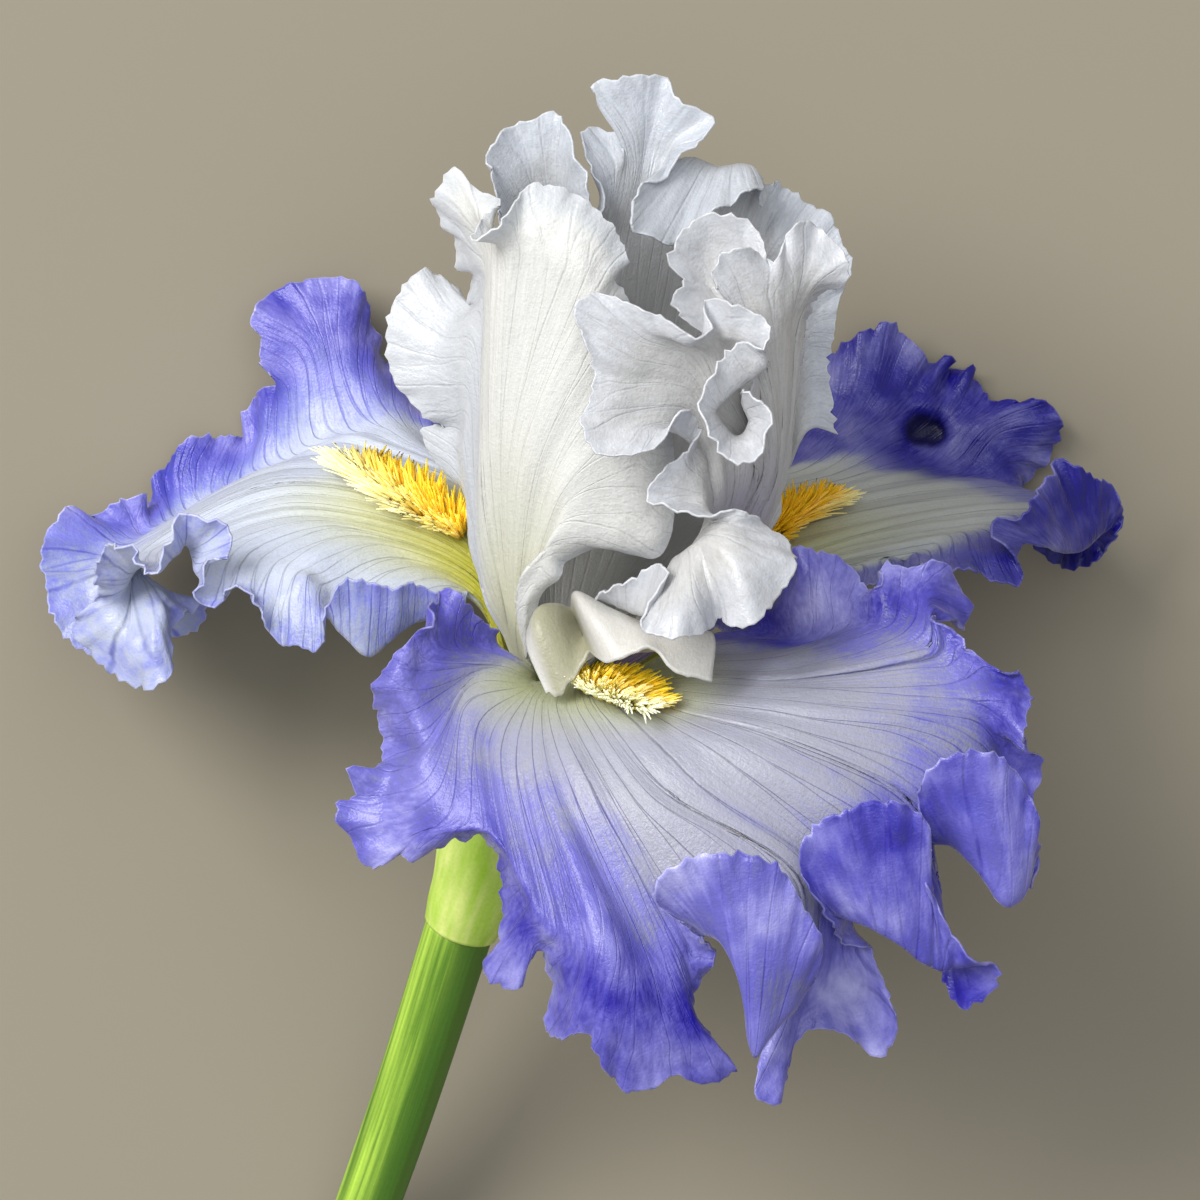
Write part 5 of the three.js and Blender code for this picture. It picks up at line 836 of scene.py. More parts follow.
# Dents in the right fall's deep fold as (x, y, radius, depth): each sinks the surface and darkens it with
# painted shade.
RIGHT_FALL_DENTS_AND_SHADE = [(50.2, 26.6, 3, 3.4), (52, 26.2, 2.8, 3.4)]
# The left fall's paler, brighter colours are partly painted light, and the right fall's darker, duller
# colours and haft partly painted shade, from the lamp at the upper left.
left_fall_skin = petal_material(
    "left_fall_skin", centre=(0.66, 0.71, 0.84), margin=(0.17, 0.16, 0.6), haft=(0.52, 0.5, 0.04),
    vein=(0.1, 0.13, 0.06), edge=(0.8, 0.82, 0.96), veins=30, half_width=0.11, strength=0.42,
    mottle=0.7, veining=0.45, glow=0.18, seed=7.0)
right_fall_skin = petal_material(
    "right_fall_skin", centre=(0.5, 0.52, 0.5), margin=(0.09, 0.085, 0.36), haft=(0.42, 0.4, 0.06),
    vein=(0.07, 0.08, 0.05), edge=(0.4, 0.4, 0.8), veins=30, half_width=0.11, strength=0.42,
    mottle=0.9, veining=0.45, glow=0.18, seed=12.0)
left_fall, LEFT_BLADE = petal(
    "left_fall", LEFT_FALL, LEFT_FALL_VIOLET, LEFT_FALL_GREEN, EVEN_FRILL, crimp=0.8,
    nick=0.8, fan=24, seed=23, material=left_fall_skin)
right_fall, RIGHT_BLADE = petal(
    "right_fall", RIGHT_FALL, RIGHT_FALL_VIOLET, RIGHT_FALL_GREEN, EVEN_FRILL, crimp=1,
    nick=0.9, fan=24, seed=31, material=right_fall_skin, dents_and_shade=RIGHT_FALL_DENTS_AND_SHADE)
for piece, node, slot in ((left_fall, "fall_left", "petal_lilac"),
                          (right_fall, "fall_right", "petal_indigo")):
    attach(piece, "root")
    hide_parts(node)

# ---------------------------------------------------------------- standards
# Three upright petals that lean together over the heart, white with a cold blue shade at the crown
# and a cream midrib at the left one's haft. The right and back ones are painted greyer than the left
# one as painted shade, and the right one's haft purple-grey as painted shade of the pocket under the
# left one's edge. The right front one spills over its neighbour in folds and a curled ring; the back
# one shows above both.
LEFT_STANDARD = {
    "root": [
        (0, -12.1, -11.2, 0.1), (22, -11.1, -12.2, 1.8), (47, -10.1, -13.1, 3.5)],
    "haft": [
        (0, -13.6, -7.5, 1.5), (12, -14, -3.5, 7.5), (22, -13.5, -2.5, 9.5), (32, -12.5, -3.5, 10.8),
        (47, -10.2, -9.7, 8)],
    "mid": [
        (0, -14, -6, 2.2), (6, -17.6, 4, 9.5), (12, -18, 13, 17), (18, -17, 19.5, 22), (24, -15, 23, 25.5),
        (30, -11.5, 22, 28), (36, -5.5, 15, 28.5), (41, -8, 8, 25), (44, -12.6, 1, 18.5),
        (47, -11, -9, 9.3)],
    "ribs": [
        ((-14.4, -4.5, 2.4), (-14.7, -3.2, 2.2), (-15, -2, 1.8)),
        ((-16.9, -1, 5), (-17.5, 0.5, 3.8), (-17.8, 1.8, 2.5)),
        ((-18.9, 6, 7.5), (-19.4, 8, 5.8), (-19.2, 9, 4.4)),
        ((-19.9, 12.5, 11), (-19.9, 15, 9), (-20.4, 16.4, 6.6)),
        ((-20.2, 17.5, 13.8), (-21.2, 18.5, 11), (-25, 21, 8)),
        ((-20.2, 21.7, 16), (-21.8, 23, 12), (-27.3, 25.8, 8)),
        ((-20, 25, 17.8), (-21, 26, 13.6), (-24, 26.5, 10)),
        ((-19.5, 28, 19.8), (-22.3, 28.5, 14.6), (-26, 27.6, 12)),
        ((-19.3, 31, 21), (-23.5, 32, 16), (-30.7, 31.7, 13)),
        ((-19, 34, 22.3), (-24, 35.5, 16.5), (-32.6, 37, 13.5)),
        ((-18.6, 37, 23.6), (-24, 39, 16.5), (-31.5, 44.5, 13)),
        ((-17.8, 40, 25), (-22.5, 42, 17), (-27.5, 49.6, 12.5)),
        ((-17.5, 42.5, 26), (-20, 43.5, 18), (-24.5, 49, 12)),
        ((-17.3, 45, 27), (-18.5, 44.5, 20), (-19.5, 44, 15)),
        ((-17.2, 47, 28.5), (-18.5, 47.5, 23), (-19.8, 47.3, 19)),
        ((-17.2, 49, 30), (-20, 52, 27), (-22, 53, 24)),
        ((-17.2, 50.5, 31.5), (-20.5, 55.5, 29.5), (-25.4, 58.8, 27)),
        ((-17, 51.5, 33), (-20, 57, 31.5), (-24, 62, 29)),
        ((-16.7, 52, 34.3), (-19, 57.5, 33), (-21.8, 64.8, 30)),
        ((-16.3, 52.2, 35.5), (-18, 57, 35), (-18.5, 61.5, 33)),
        ((-15.8, 52, 36.5), (-16.5, 56.5, 36.5), (-14.5, 59.3, 35)),
        ((-15, 51.5, 37.5), (-16.2, 54.8, 38.5), (-17, 57.5, 38)),
        ((-14.2, 51, 38.3), (-15.8, 53.2, 40), (-19.5, 53.7, 42)),
        ((-13.2, 51, 39), (-13.8, 53.5, 41), (-15.5, 55, 44)),
        ((-12, 51.3, 39.5), (-12.3, 55.5, 41), (-12.8, 59, 42)),
        ((-10.5, 51.5, 40), (-10.5, 57, 41), (-10.3, 61.9, 41)),
        ((-8.5, 51, 40.3), (-8, 57, 41), (-7, 61.6, 40.5)),
        ((-6.5, 50, 40.5), (-5, 56, 41), (-3, 60.3, 40)),
        ((-4.5, 48.5, 40.5), (-2.3, 54, 41), (0.8, 57.2, 39.5)),
        ((-3, 46.5, 40.2), (-0.3, 51.5, 40.5), (3, 54.5, 39)),
        ((-2, 44, 39.5), (0.8, 49, 39.5), (4.1, 51.3, 38)),
        ((-1.2, 41, 38.5), (1.5, 46, 38.3), (2.9, 48, 36.5)),
        ((-0.5, 37.5, 37.5), (2.5, 42, 37), (5, 43, 35)),
        ((0.5, 34, 36.5), (4, 37.5, 35.5), (7, 38, 33.5)),
        ((1.5, 30, 35.3), (5.5, 32.5, 34), (8.5, 33, 32)),
        ((2.5, 26, 34), (7, 27.5, 32.5), (10, 28, 30.5)), ((3.3, 22, 32.5), (8, 22.5, 31), (11, 22.5, 29)),
        ((3.8, 18, 31), (8.3, 17.5, 29.5), (11, 17, 27.5)), ((3.5, 14.5, 29.5), (8, 13, 28), (11, 12, 26)),
        ((2.5, 12, 28.5), (7, 9.5, 27), (10, 8, 25)), ((0.5, 10.2, 27.5), (4.5, 8, 26), (8, 6.3, 24)),
        ((-2.5, 9, 26.5), (0.5, 8, 25.5), (4, 7, 23.5)),
        ((-5.5, 8, 25.5), (-3, 7.8, 24.5), (0, 7.8, 22.5)),
        ((-8, 6.5, 24), (-6.5, 6.2, 23.5), (-5, 6, 22)), ((-9.5, 4, 22), (-7.5, 3.5, 22.5), (-6, 3.3, 22)),
        ((-10.9, 0, 18.8), (-9.7, 0.7, 19), (-8.8, 1, 18.8)),
        ((-11.2, -4, 14.9), (-10.3, -3.4, 15), (-9.5, -3, 15)),
        ((-10.8, -8, 10.4), (-10.6, -7.8, 10.9), (-10.3, -7.5, 11.3))],
}
RIGHT_STANDARD = {
    "root": [
        (0, -4, -13.8, 3.5), (42, -2.8, -13.2, 1.8), (85, -1.6, -12.5, 0.1)],
    "haft": [
        (0, 1, -9.3, 7), (15, 5.5, -4.5, 6.5), (35, 10, -1.5, 6.5), (55, 11.3, -3.2, 4.8),
        (76, 10, -6.2, 2.8), (85, 5.5, -9.3, 0.6)],
    "mid": [
        (0, 4, -5, 9.8), (8, 10.2, 0, 15.5), (18, 14.2, 8, 25.5), (28, 17, 13, 27.5), (40, 21, 17.5, 27),
        (50, 23.5, 18, 25), (70, 25.5, 16.5, 20.5), (78, 25, 12, 14.5), (82, 22.5, 7, 10.5),
        (84, 18, 1, 6.3), (85, 12.5, -5, 2)],
    "ribs": [
        ((6.3, -1, 11), (5.8, 0.6, 12.5), (5, 1.8, 14)), ((8, 1.2, 14), (3.8, 0.5, 17), (0.8, 1.3, 20)),
        ((9, 2.4, 17.5), (3.2, -0.6, 22), (-0.4, 1.2, 25.5)),
        ((9.9, 3.5, 21), (5, -1.8, 26.5), (4, 3.2, 31)),
        ((10.6, 4.6, 24), (6.8, -2.3, 30.5), (8.5, 5.6, 35)),
        ((11.1, 5.4, 26.5), (8, -1.2, 34.5), (9.5, 4.5, 38)),
        ((11.5, 6, 28.5), (8.8, 0.3, 37), (5.8, -3, 41)), ((12, 6.4, 30), (9.5, -0.5, 39.5), (7, -5, 42)),
        ((12.5, 6.8, 31.8), (11.5, -0.5, 41), (10.5, -6.3, 43)),
        ((13.2, 7.4, 33), (13.5, 0, 41), (14.3, -5.5, 42)),
        ((13.8, 7.9, 34), (15.2, 1.5, 39), (17.2, -4.3, 38)),
        ((14.4, 8.3, 34.8), (16.3, 3, 38), (17.7, -2.8, 37)),
        ((15, 8.7, 35.5), (18.5, 3.5, 41), (19.5, -4.4, 41.5)),
        ((15.6, 9.1, 36), (20, 4.5, 42), (23, -3.7, 42.5)),
        ((16.2, 9.5, 36.3), (21.5, 6, 41.5), (26.6, 0.3, 41)),
        ((16.8, 10, 36.3), (22.5, 7.5, 40), (29.2, 4, 39)),
        ((17.2, 10.5, 36), (22.5, 9.3, 38), (28.8, 8.3, 36)),
        ((17.2, 11, 35.5), (21.5, 11, 36.5), (24.5, 11.5, 34)),
        ((17, 11.5, 34.8), (19.5, 12.7, 37), (21, 13.6, 37.5)),
        ((16.5, 12.3, 34), (16, 13, 36.5), (14.5, 12.8, 39)),
        ((16, 13.3, 33.3), (13, 14, 35.5), (8.2, 13.8, 38)),
        ((15.7, 14.5, 32.8), (12, 15.5, 35), (6.9, 16.2, 37.5)),
        ((15.5, 16, 32.5), (12.3, 17.5, 35), (8.7, 19.3, 37)),
        ((15.5, 17.5, 32.3), (13, 19.5, 34.8), (11.8, 21.8, 36.5)),
        ((15.7, 19, 32), (13.8, 21.5, 34.5), (14.2, 24.3, 36.5)),
        ((15.5, 20.5, 32), (13.2, 23.5, 35.5), (14.6, 26.8, 37.5)),
        ((15, 22, 32.3), (11.5, 25, 37), (12.3, 28.6, 40)),
        ((14.5, 23.5, 32.8), (9, 25.5, 38), (8, 22.7, 41.5)),
        ((14.2, 25, 33.3), (6.5, 25.5, 38.8), (3.5, 21, 42)),
        ((14, 26.5, 34), (4.3, 26.5, 39), (-1.3, 21.8, 41.5)),
        ((14, 28, 34.5), (3, 28, 39.3), (-3.3, 26, 41)),
        ((14, 29.5, 35), (3, 30.5, 39.8), (-1.8, 29.5, 41)),
        ((14, 31, 35.5), (3.3, 33, 40.3), (-1.3, 34, 41.5)),
        ((14.2, 32.5, 36), (4, 36, 41), (-3.3, 40, 42)),
        ((14.4, 33.7, 36.5), (4.8, 38.5, 41.5), (-4.4, 43.6, 42.5)),
        ((14.8, 34.8, 37), (6, 39.5, 42), (-0.8, 45.3, 43)),
        ((15.3, 35.5, 37.3), (8, 39.5, 42.3), (4.5, 43.8, 43.5)),
        ((15.8, 36, 37.5), (10.5, 38.5, 42.3), (9.8, 41.4, 44)),
        ((16.4, 36.3, 37.6), (13, 37.8, 42), (14.3, 39.4, 44)),
        ((17, 36.6, 37.6), (15, 38.3, 41), (16.8, 40.3, 42.5)),
        ((17.6, 37, 37.5), (16.8, 40, 40), (15.8, 44.8, 41)),
        ((18.2, 37.2, 37.3), (19, 39.5, 41), (19.5, 44.3, 43)),
        ((18.7, 37, 37), (21.5, 38.5, 42), (24.3, 42, 44)),
        ((19.2, 36.5, 36.5), (23, 37, 41.5), (25.5, 39.2, 44)),
        ((19.6, 35.5, 36), (24, 36, 41.5), (24, 37.4, 44)),
        ((20, 34, 35.5), (24.2, 34.2, 41), (20.5, 38.3, 43.7)),
        ((18.9, 31.6, 36.6), (18.6, 30.6, 41), (16.6, 35, 44.3)),
        ((17.5, 29.8, 36.9), (17.2, 29, 41.2), (15.3, 31.4, 44.8)),
        ((17, 27.7, 37), (16.8, 27.2, 41.2), (14.9, 27.2, 45.2)),
        ((18.2, 25.4, 37), (17.9, 25, 41.2), (16, 23.4, 45.5)),
        ((20.1, 23.7, 36.8), (19.9, 23.2, 41.2), (20.3, 19.9, 45.8)),
        ((21.8, 24.4, 36.6), (22.1, 24.1, 41), (24, 21.7, 45.5)),
        ((22.6, 26.1, 36.2), (23, 26.2, 40.7), (25.5, 26.5, 45)),
        ((22.2, 27.9, 35.4), (22.2, 28.2, 40), (24.6, 29.8, 44.5)),
        ((22.2, 28.7, 34.2), (21.2, 29.4, 38.5), (21, 31.1, 43)),
        ((23.3, 28.9, 32.2), (22.8, 29.8, 34), (21.9, 30.2, 36.5)),
        ((23.6, 29.9, 31.9), (23.6, 33.5, 33), (22.8, 36.5, 34.2)),
        ((23.72, 30.41, 31.95), (21.6, 35.5, 31.6), (18.2, 38.6, 31.2)),
        ((23.83, 30.92, 31.99), (19.4, 38.6, 30), (13.2, 41.2, 30.8)),
        ((23.95, 31.42, 32.04), (17.6, 42.4, 28.8), (10.2, 44.6, 30.6)),
        ((24.07, 31.93, 32.08), (17, 45.4, 28), (12.4, 48, 30.2)),
        ((24.18, 32.44, 32.13), (16.8, 47.8, 27.6), (9.8, 51.4, 29.8)),
        ((24.3, 32.95, 32.17), (18, 50, 27.5), (12.2, 55.6, 29)),
        ((24.42, 33.46, 32.22), (20, 51.2, 27.6), (17, 58.3, 28.4)),
        ((24.53, 33.97, 32.27), (22, 50.8, 28.2), (22.4, 56.8, 28.6)),
        ((24.65, 34.48, 32.31), (23.2, 48.4, 30), (25, 51.4, 30.4)),
        ((24.77, 34.98, 32.36), (22.8, 44.6, 32.8), (21.6, 47, 34)),
        ((24.88, 35.49, 32.4), (21, 42, 35.5), (17, 46.5, 38.2)),
        ((25.1, 37, 32.6), (21.5, 45.5, 36.5), (17.6, 51.3, 39)),
        ((25.6, 38.7, 32.7), (23.2, 46.8, 37), (21.3, 52.7, 38.3)),
        ((26.3, 40, 32.6), (26, 47.3, 36.3), (25.6, 50.9, 36.3)),
        ((27.3, 41.2, 32), (28.5, 48, 35), (28.6, 56, 35)),
        ((27.8, 41.5, 31.3), (30, 48.5, 34), (31.5, 56.4, 33)),
        ((28.2, 41.5, 30.5), (31.5, 48.5, 33.5), (34.8, 54, 33)),
        ((28.5, 41, 29.7), (32.2, 47.5, 33), (37.3, 50.2, 33.5)),
        ((28.8, 40, 28.8), (31.8, 46, 31.5), (36.4, 46.4, 32)),
        ((29, 38.5, 27.8), (30.8, 44, 29), (32.6, 44.8, 27)),
        ((29.2, 36.5, 26.5), (30, 41.5, 26), (31, 41.5, 22)),
        ((29.3, 34, 25), (29.7, 38, 23), (30, 38, 18.5)),
        ((29.3, 31, 23), (29.5, 33.5, 20), (29.5, 33, 15)),
        ((29, 27, 20.5), (29, 28.5, 17), (28.7, 27.5, 12.5)),
        ((28.3, 22.5, 18), (28, 23, 14.5), (27.5, 21.5, 11)),
        ((27.6, 17, 13.5), (27, 16.3, 11.5), (26.3, 15.5, 9.5)),
        ((25.8, 10.5, 10.3), (25.2, 9.6, 8.6), (24.4, 8.6, 7)),
        ((22.3, 4.5, 7), (21.8, 3.8, 5.6), (21.2, 3, 4.4)),
        ((16, -1.5, 3.6), (15.8, -2, 2.9), (15.6, -2.4, 2.2))],
}
BACK_STANDARD = {
    "root": [
        (0, -8.7, -9.4, -4.7), (21, -6.5, -9.7, -4.7), (42, -4.3, -10, -4.7)],
    "haft": [
        (0, -11, 2, -7), (15, -6, 4, -11), (30, 3, 5, -11.5), (42, 8, 2.5, -6.5)],
    "mid": [
        (0, -14, 18, -4), (10, -10, 22, -9), (20, 0, 24, -12), (30, 12, 25, -11), (38, 22, 23, -6),
        (42, 25.5, 16, -1)],
    "ribs": [
        ((-13, 28, 0), (-13.5, 31, 3), (-14, 33, 6)), ((-13, 36, 3), (-13.5, 41, 7), (-14, 44, 10)),
        ((-12.5, 44, 6), (-13.5, 51, 11), (-14.5, 55, 14)),
        ((-12, 50, 8), (-14, 58.5, 14), (-16.5, 63.5, 18)),
        ((-11, 53, 9), (-13.5, 62, 15), (-17.7, 67, 18)),
        ((-10, 55, 9.5), (-11.5, 64, 15.5), (-14.5, 71, 18)),
        ((-8.8, 56, 10), (-9.5, 65, 15.5), (-10.8, 72.3, 17)),
        ((-7.5, 56.5, 10.5), (-7.5, 65, 15.5), (-6.9, 73.9, 17)),
        ((-6.3, 56.5, 11), (-5.7, 64, 16), (-5, 71, 18.5)),
        ((-5.2, 56, 11.5), (-4.5, 62.5, 17), (-3.2, 65.8, 21)),
        ((-4.2, 55.3, 12), (-3.3, 60, 17.5), (-2.1, 60.5, 21)),
        ((-3.2, 54.5, 12.3), (-1.8, 57.5, 17), (-0.8, 57.5, 19)),
        ((-2.2, 54, 12.3), (0, 59, 16.5), (0.7, 61.5, 18)),
        ((-1.2, 54, 12), (0.8, 62, 15.5), (-2.7, 69, 17)), ((-0.3, 54, 11.8), (2, 64, 15), (-1, 71.7, 15)),
        ((0.6, 54, 11.5), (3.3, 66, 14.5), (3.8, 70.2, 13)), ((1.5, 54, 11.2), (4, 66.5, 14), (0, 75, 15)),
        ((2.5, 54, 11), (5, 68, 13.5), (-1.4, 78, 16)), ((3.5, 54, 10.8), (6, 69, 13), (3.5, 79, 15.5)),
        ((4.6, 54, 10.6), (7, 69, 12.5), (9.3, 79.4, 14)),
        ((5.8, 54, 10.4), (8.5, 68, 12.5), (12.5, 75.5, 15)),
        ((7, 54, 10.2), (10.4, 67.6, 13), (17.2, 72.5, 16)),
        ((8.3, 54, 10), (10.2, 66.4, 13.4), (14.8, 69.4, 17)),
        ((9.7, 54, 9.8), (10.6, 65.4, 13.2), (10, 64.8, 18.8)),
        ((11, 54, 9.5), (12.2, 66.1, 12.2), (5.8, 61.2, 23.6)),
        ((12, 54, 9.2), (13.6, 66.6, 11.7), (3.8, 56, 26)),
        ((13, 54, 9), (15, 66.2, 11.4), (7.2, 53.8, 25.6)),
        ((14, 54, 8.8), (16.3, 65.6, 11.2), (10.6, 52.9, 24.6)),
        ((15, 54, 8.6), (17.7, 65.2, 11), (14, 56.6, 22.6)),
        ((16.2, 53.7, 8.3), (19.2, 65.4, 10.6), (18, 58.4, 20.6)),
        ((17.4, 53.3, 8), (20.8, 65.6, 10), (22.2, 60.4, 18.4)),
        ((18.6, 52.8, 7.5), (22.3, 65.3, 9.2), (25.2, 62.2, 15)),
        ((19.8, 52.2, 7), (23.6, 64.3, 8.3), (25, 59.4, 12.5)),
        ((21, 51.3, 6.5), (24.6, 62.3, 7), (26, 63.6, 7)),
        ((22.5, 50, 6), (25.8, 59.5, 6.8), (27.5, 63.6, 6)),
        ((24, 48.5, 5.5), (27, 54.5, 8), (31, 60.7, 5)), ((25.5, 46.5, 5), (29.5, 52, 8), (34.7, 59, 7)),
        ((27, 44, 5), (31.5, 49.5, 8), (36.9, 54.5, 8)), ((28.2, 41, 5), (32.5, 46.5, 8), (38.6, 50.5, 8)),
        ((29, 38, 5.5), (32.5, 43, 8), (36.3, 45, 8)), ((29.5, 34.5, 6), (32, 39, 8), (35.2, 39, 7)),
        ((29.8, 31, 6.5), (32, 34.5, 8), (35, 35, 7.5)), ((30, 24, 7.5), (32.5, 26, 8), (36.2, 25, 7))],
}
STANDARD_BLUE = [(0, 0.55, 1.15, 1), (200, 0.55, 1.15, 1)]
# How far the haft colour reaches on the standards: the left one's cream midrib, and on the right one painted
# shade.
STANDARD_CREAM_AND_SHADE = [(0, 0.5), (200, 0.5)]
LEFT_STANDARD_BLUE = [(0, 0.2, 0.6, 1), (12, 0.2, 0.6, 1), (17, 0.6, 1.2, 1), (200, 0.6, 1.2, 1)]
LEFT_STANDARD_FRILL = [(0, 0.3), (8, 1), (33, 1), (36, 0.1), (47, 0.1)]
left_standard_skin = petal_material(
    "left_standard_skin", centre=(0.79, 0.79, 0.77), margin=(0.64, 0.66, 0.7), haft=(0.72, 0.72, 0.52),
    vein=(0.6, 0.62, 0.5), edge=(0.95, 0.96, 0.98), veins=22, half_width=0.14, strength=0.16,
    mottle=0, veining=0.45, glow=0.18, seed=17.0)
# Greyer than the left standard as painted shade; its purple-grey haft is painted shade of the pocket under
# the left standard's edge.
right_standard_skin = petal_material(
    "right_standard_skin", centre=(0.61, 0.605, 0.6), margin=(0.62, 0.635, 0.675), haft=(0.36, 0.27, 0.42),
    vein=(0.6, 0.6, 0.6), edge=(0.95, 0.96, 0.98), veins=30, half_width=0.12, strength=0.12,
    mottle=0, veining=0.45, glow=0.18, seed=19.0)
# Greyer than the left standard as painted shade.
back_standard_skin = petal_material(
    "back_standard_skin", centre=(0.58, 0.59, 0.61), margin=(0.61, 0.64, 0.7), haft=(0.5, 0.5, 0.48),
    vein=(0.56, 0.58, 0.6), edge=(0.93, 0.95, 0.98), veins=28, half_width=0.12, strength=0.12,
    mottle=0, veining=0.45, glow=0.18, seed=29.0)
for name, net, node, blue, frill, skin, seed in (
        ("left_standard", LEFT_STANDARD, "standard_left", LEFT_STANDARD_BLUE, LEFT_STANDARD_FRILL,
         left_standard_skin, 41),
        ("right_standard", RIGHT_STANDARD, "standard_right", STANDARD_BLUE, EVEN_FRILL,
         right_standard_skin, 43),
        ("back_standard", BACK_STANDARD, "standard_back", STANDARD_BLUE, EVEN_FRILL,
         back_standard_skin, 47)):
    piece, _ = petal(name, net, blue, STANDARD_CREAM_AND_SHADE, frill, crimp=0.55, nick=0.7, fan=18,
                     seed=seed, material=skin)
    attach(piece, "root")
    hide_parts(node)

# ---------------------------------------------------------------- style arms
# Three petal-like arms arch over the hafts. Only the front one shows: a see-through flap at its left,
# tinted olive, partly its own colour and partly painted shade of the pocket under the arm, a pale
# rolled ridge, and a two-lobed crest turned up at the tip.
HEART = Vector((-7, -13, -1))               # where the three arms meet
UP_FLOWER = Vector((0.126, 0.897, 0.423)).normalized()
# from root to crest, each row from its left flap over the ridge
STYLE_FRONT = [
    [(-8.9, -12.6, 2.4), (-8.3, -12.6, 2.4), (-7.7, -12.6, 2.4), (-7, -12.6, 2.4), (-6.3, -12.6, 2.4),
     (-5.8, -12.6, 2.4), (-5.4, -12.6, 2.4), (-5.1, -12.6, 2.4), (-4.9, -12.6, 2.4)],
    [(-8.8, -8.5, 9.5), (-7.5, -5.5, 9.5), (-6, -4, 10), (-4.5, -3.5, 10.5), (-3, -4.5, 10.5),
     (-1.5, -6, 10.5), (-0.8, -7.2, 10.3), (-0.6, -8, 10.1), (-0.5, -8.5, 10)],
    [(-10, -3.5, 18), (-8.6, -1.2, 18.5), (-6.4, -0.8, 18.2), (-4.2, -1.4, 17), (-3.6, 1, 20.4),
     (1, -1.7, 20.4), (4.8, -3.7, 20.4), (8, -6, 20), (9, -7.5, 19.5)],
    [(-10.8, -7, 22), (-9.4, -3.6, 23.5), (-6.4, -3.4, 22.6), (-2.6, -4.6, 18.4), (-2.4, -1.8, 27.5),
     (2.6, -2.7, 28.5), (6.8, -4.1, 28.7), (12, -4.6, 28.5), (16.6, -5, 28)],
    [(-8, -14, 24), (-6, -14.5, 24.8), (-4, -11.9, 25.2), (-1.4, -8.2, 25.2), (1, -9.4, 31),
     (4.6, -8.2, 32.6), (7.6, -7.2, 33), (11.4, -10.8, 33.4), (16.6, -12.2, 31.8)],
]
# a side arm as (out, up, sideways) from the heart
STYLE_SIDE = [
    [(2.3, 1.8, -1.6), (2.5, 1.9, -0.8), (2.6, 2, 0), (2.5, 1.9, 0.8), (2.3, 1.8, 1.6)],
    [(4.4, 3.8, -1.9), (4.8, 4.8, -1), (5, 5.2, 0), (4.8, 4.8, 1), (4.4, 3.8, 1.9)],
    [(7, 6.4, -2.5), (7.6, 7.8, -1.3), (7.8, 8.3, 0), (7.6, 7.8, 1.3), (7, 6.4, 2.5)],
    [(9.6, 8.4, -3), (10.2, 10, -1.6), (10.5, 10.6, 0), (10.2, 10, 1.6), (9.6, 8.4, 3)],
    [(11, 11, -2.8), (12, 11.4, -1.5), (12.8, 11, 0), (12, 11.4, 1.5), (11, 11, 2.8)],
]
OUT_LEFT = Vector((-0.83, 0.32, -0.45))
OUT_RIGHT = Vector((0.89, 0.1, -0.456))
STYLE_GRID = 72
STYLE_THICKNESS = 0.65
STYLE_EDGE_THICKNESS = 0.7                  # share of it left at the crest
STYLE_WIDTH = 18
STYLE_REACH = 15                            # taken as its length where the margin's distance counts
CREST_NICK = 0.03                           # share of the way from root to crest
STYLE_RIPPLE = 0.35


def style_arm(name, rows, node, seed, material):
    """A style arm: a smooth sheet through rows of points from its root to its crest."""
    heights = [j / (len(rows) - 1) for j in range(len(rows))]
    spots = [([i / (len(r) - 1) for i in range(len(r))], [Vector(p) for p in r]) for r in rows]
    blade = Blade(spots, heights)
    bm, grid, layers, uv = bmesh_grid(STYLE_GRID, STYLE_GRID, PETAL_MARKS, "across_along")
    where = {}
    for i in range(STYLE_GRID + 1):
        u = i / STYLE_GRID
        for j in range(STYLE_GRID + 1):
            v = j / STYLE_GRID
            top = v * (1 - CREST_NICK * abs(noise.noise((u * 12, seed, 0))) * ease(0.7, 1, v))
            ripple = STYLE_RIPPLE * noise.noise((u * 9, v * 2, seed)) * ease(0.5, 1, v)
            vert = grid[i][j]
            vert.co = place(blade.at(u, top) + blade.normal(u, top) * ripple)
            # the olive haft tint on the left flap: partly its own, partly painted shade of the pocket under
            # the arm
            vert[layers["green"]] = ease(0.03, 0.14, u) * (1 - ease(0.4, 0.47, u)) * ease(0.35, 0.6, v)
            vert[layers["along"]] = 0.9 * v
            vert[layers["width"]] = STYLE_WIDTH
            vert[layers["inward"]] = STYLE_REACH * min(1 - v, u, 1 - u)
            where[vert] = (u, v)
    smooth_and_map(bm, uv, where)
    piece = new_sheet(name, bm, STYLE_THICKNESS, STYLE_EDGE_THICKNESS, material)
    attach(piece, "root")
    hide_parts(node)


def side_arm(out, aside):
    """The rows of a side arm, turned to point out over its fall."""
    across = UP_FLOWER.cross(out).normalized()
    return [[HEART + out * e + UP_FLOWER * h + across * (s - aside) for e, h, s in row] for row in STYLE_SIDE]


# Its olive haft colour is partly painted shade of the pocket under the arm.
style_skin = petal_material(
    "style_skin", centre=(0.78, 0.77, 0.74), margin=(0.78, 0.77, 0.74), haft=(0.48, 0.47, 0.34),
    vein=(0.5, 0.48, 0.4), edge=(0.95, 0.95, 0.94), veins=16, half_width=0.12, strength=0.06,
    mottle=0, veining=0.08, glow=0.35, seed=37.0)
style_arm("front_style_arm", STYLE_FRONT, "style_front", seed=5, material=style_skin)
style_arm("left_style_arm", side_arm(OUT_LEFT, aside=1.2), "style_left", seed=6, material=style_skin)
style_arm("right_style_arm", side_arm(OUT_RIGHT, aside=0), "style_right", seed=7, material=style_skin)

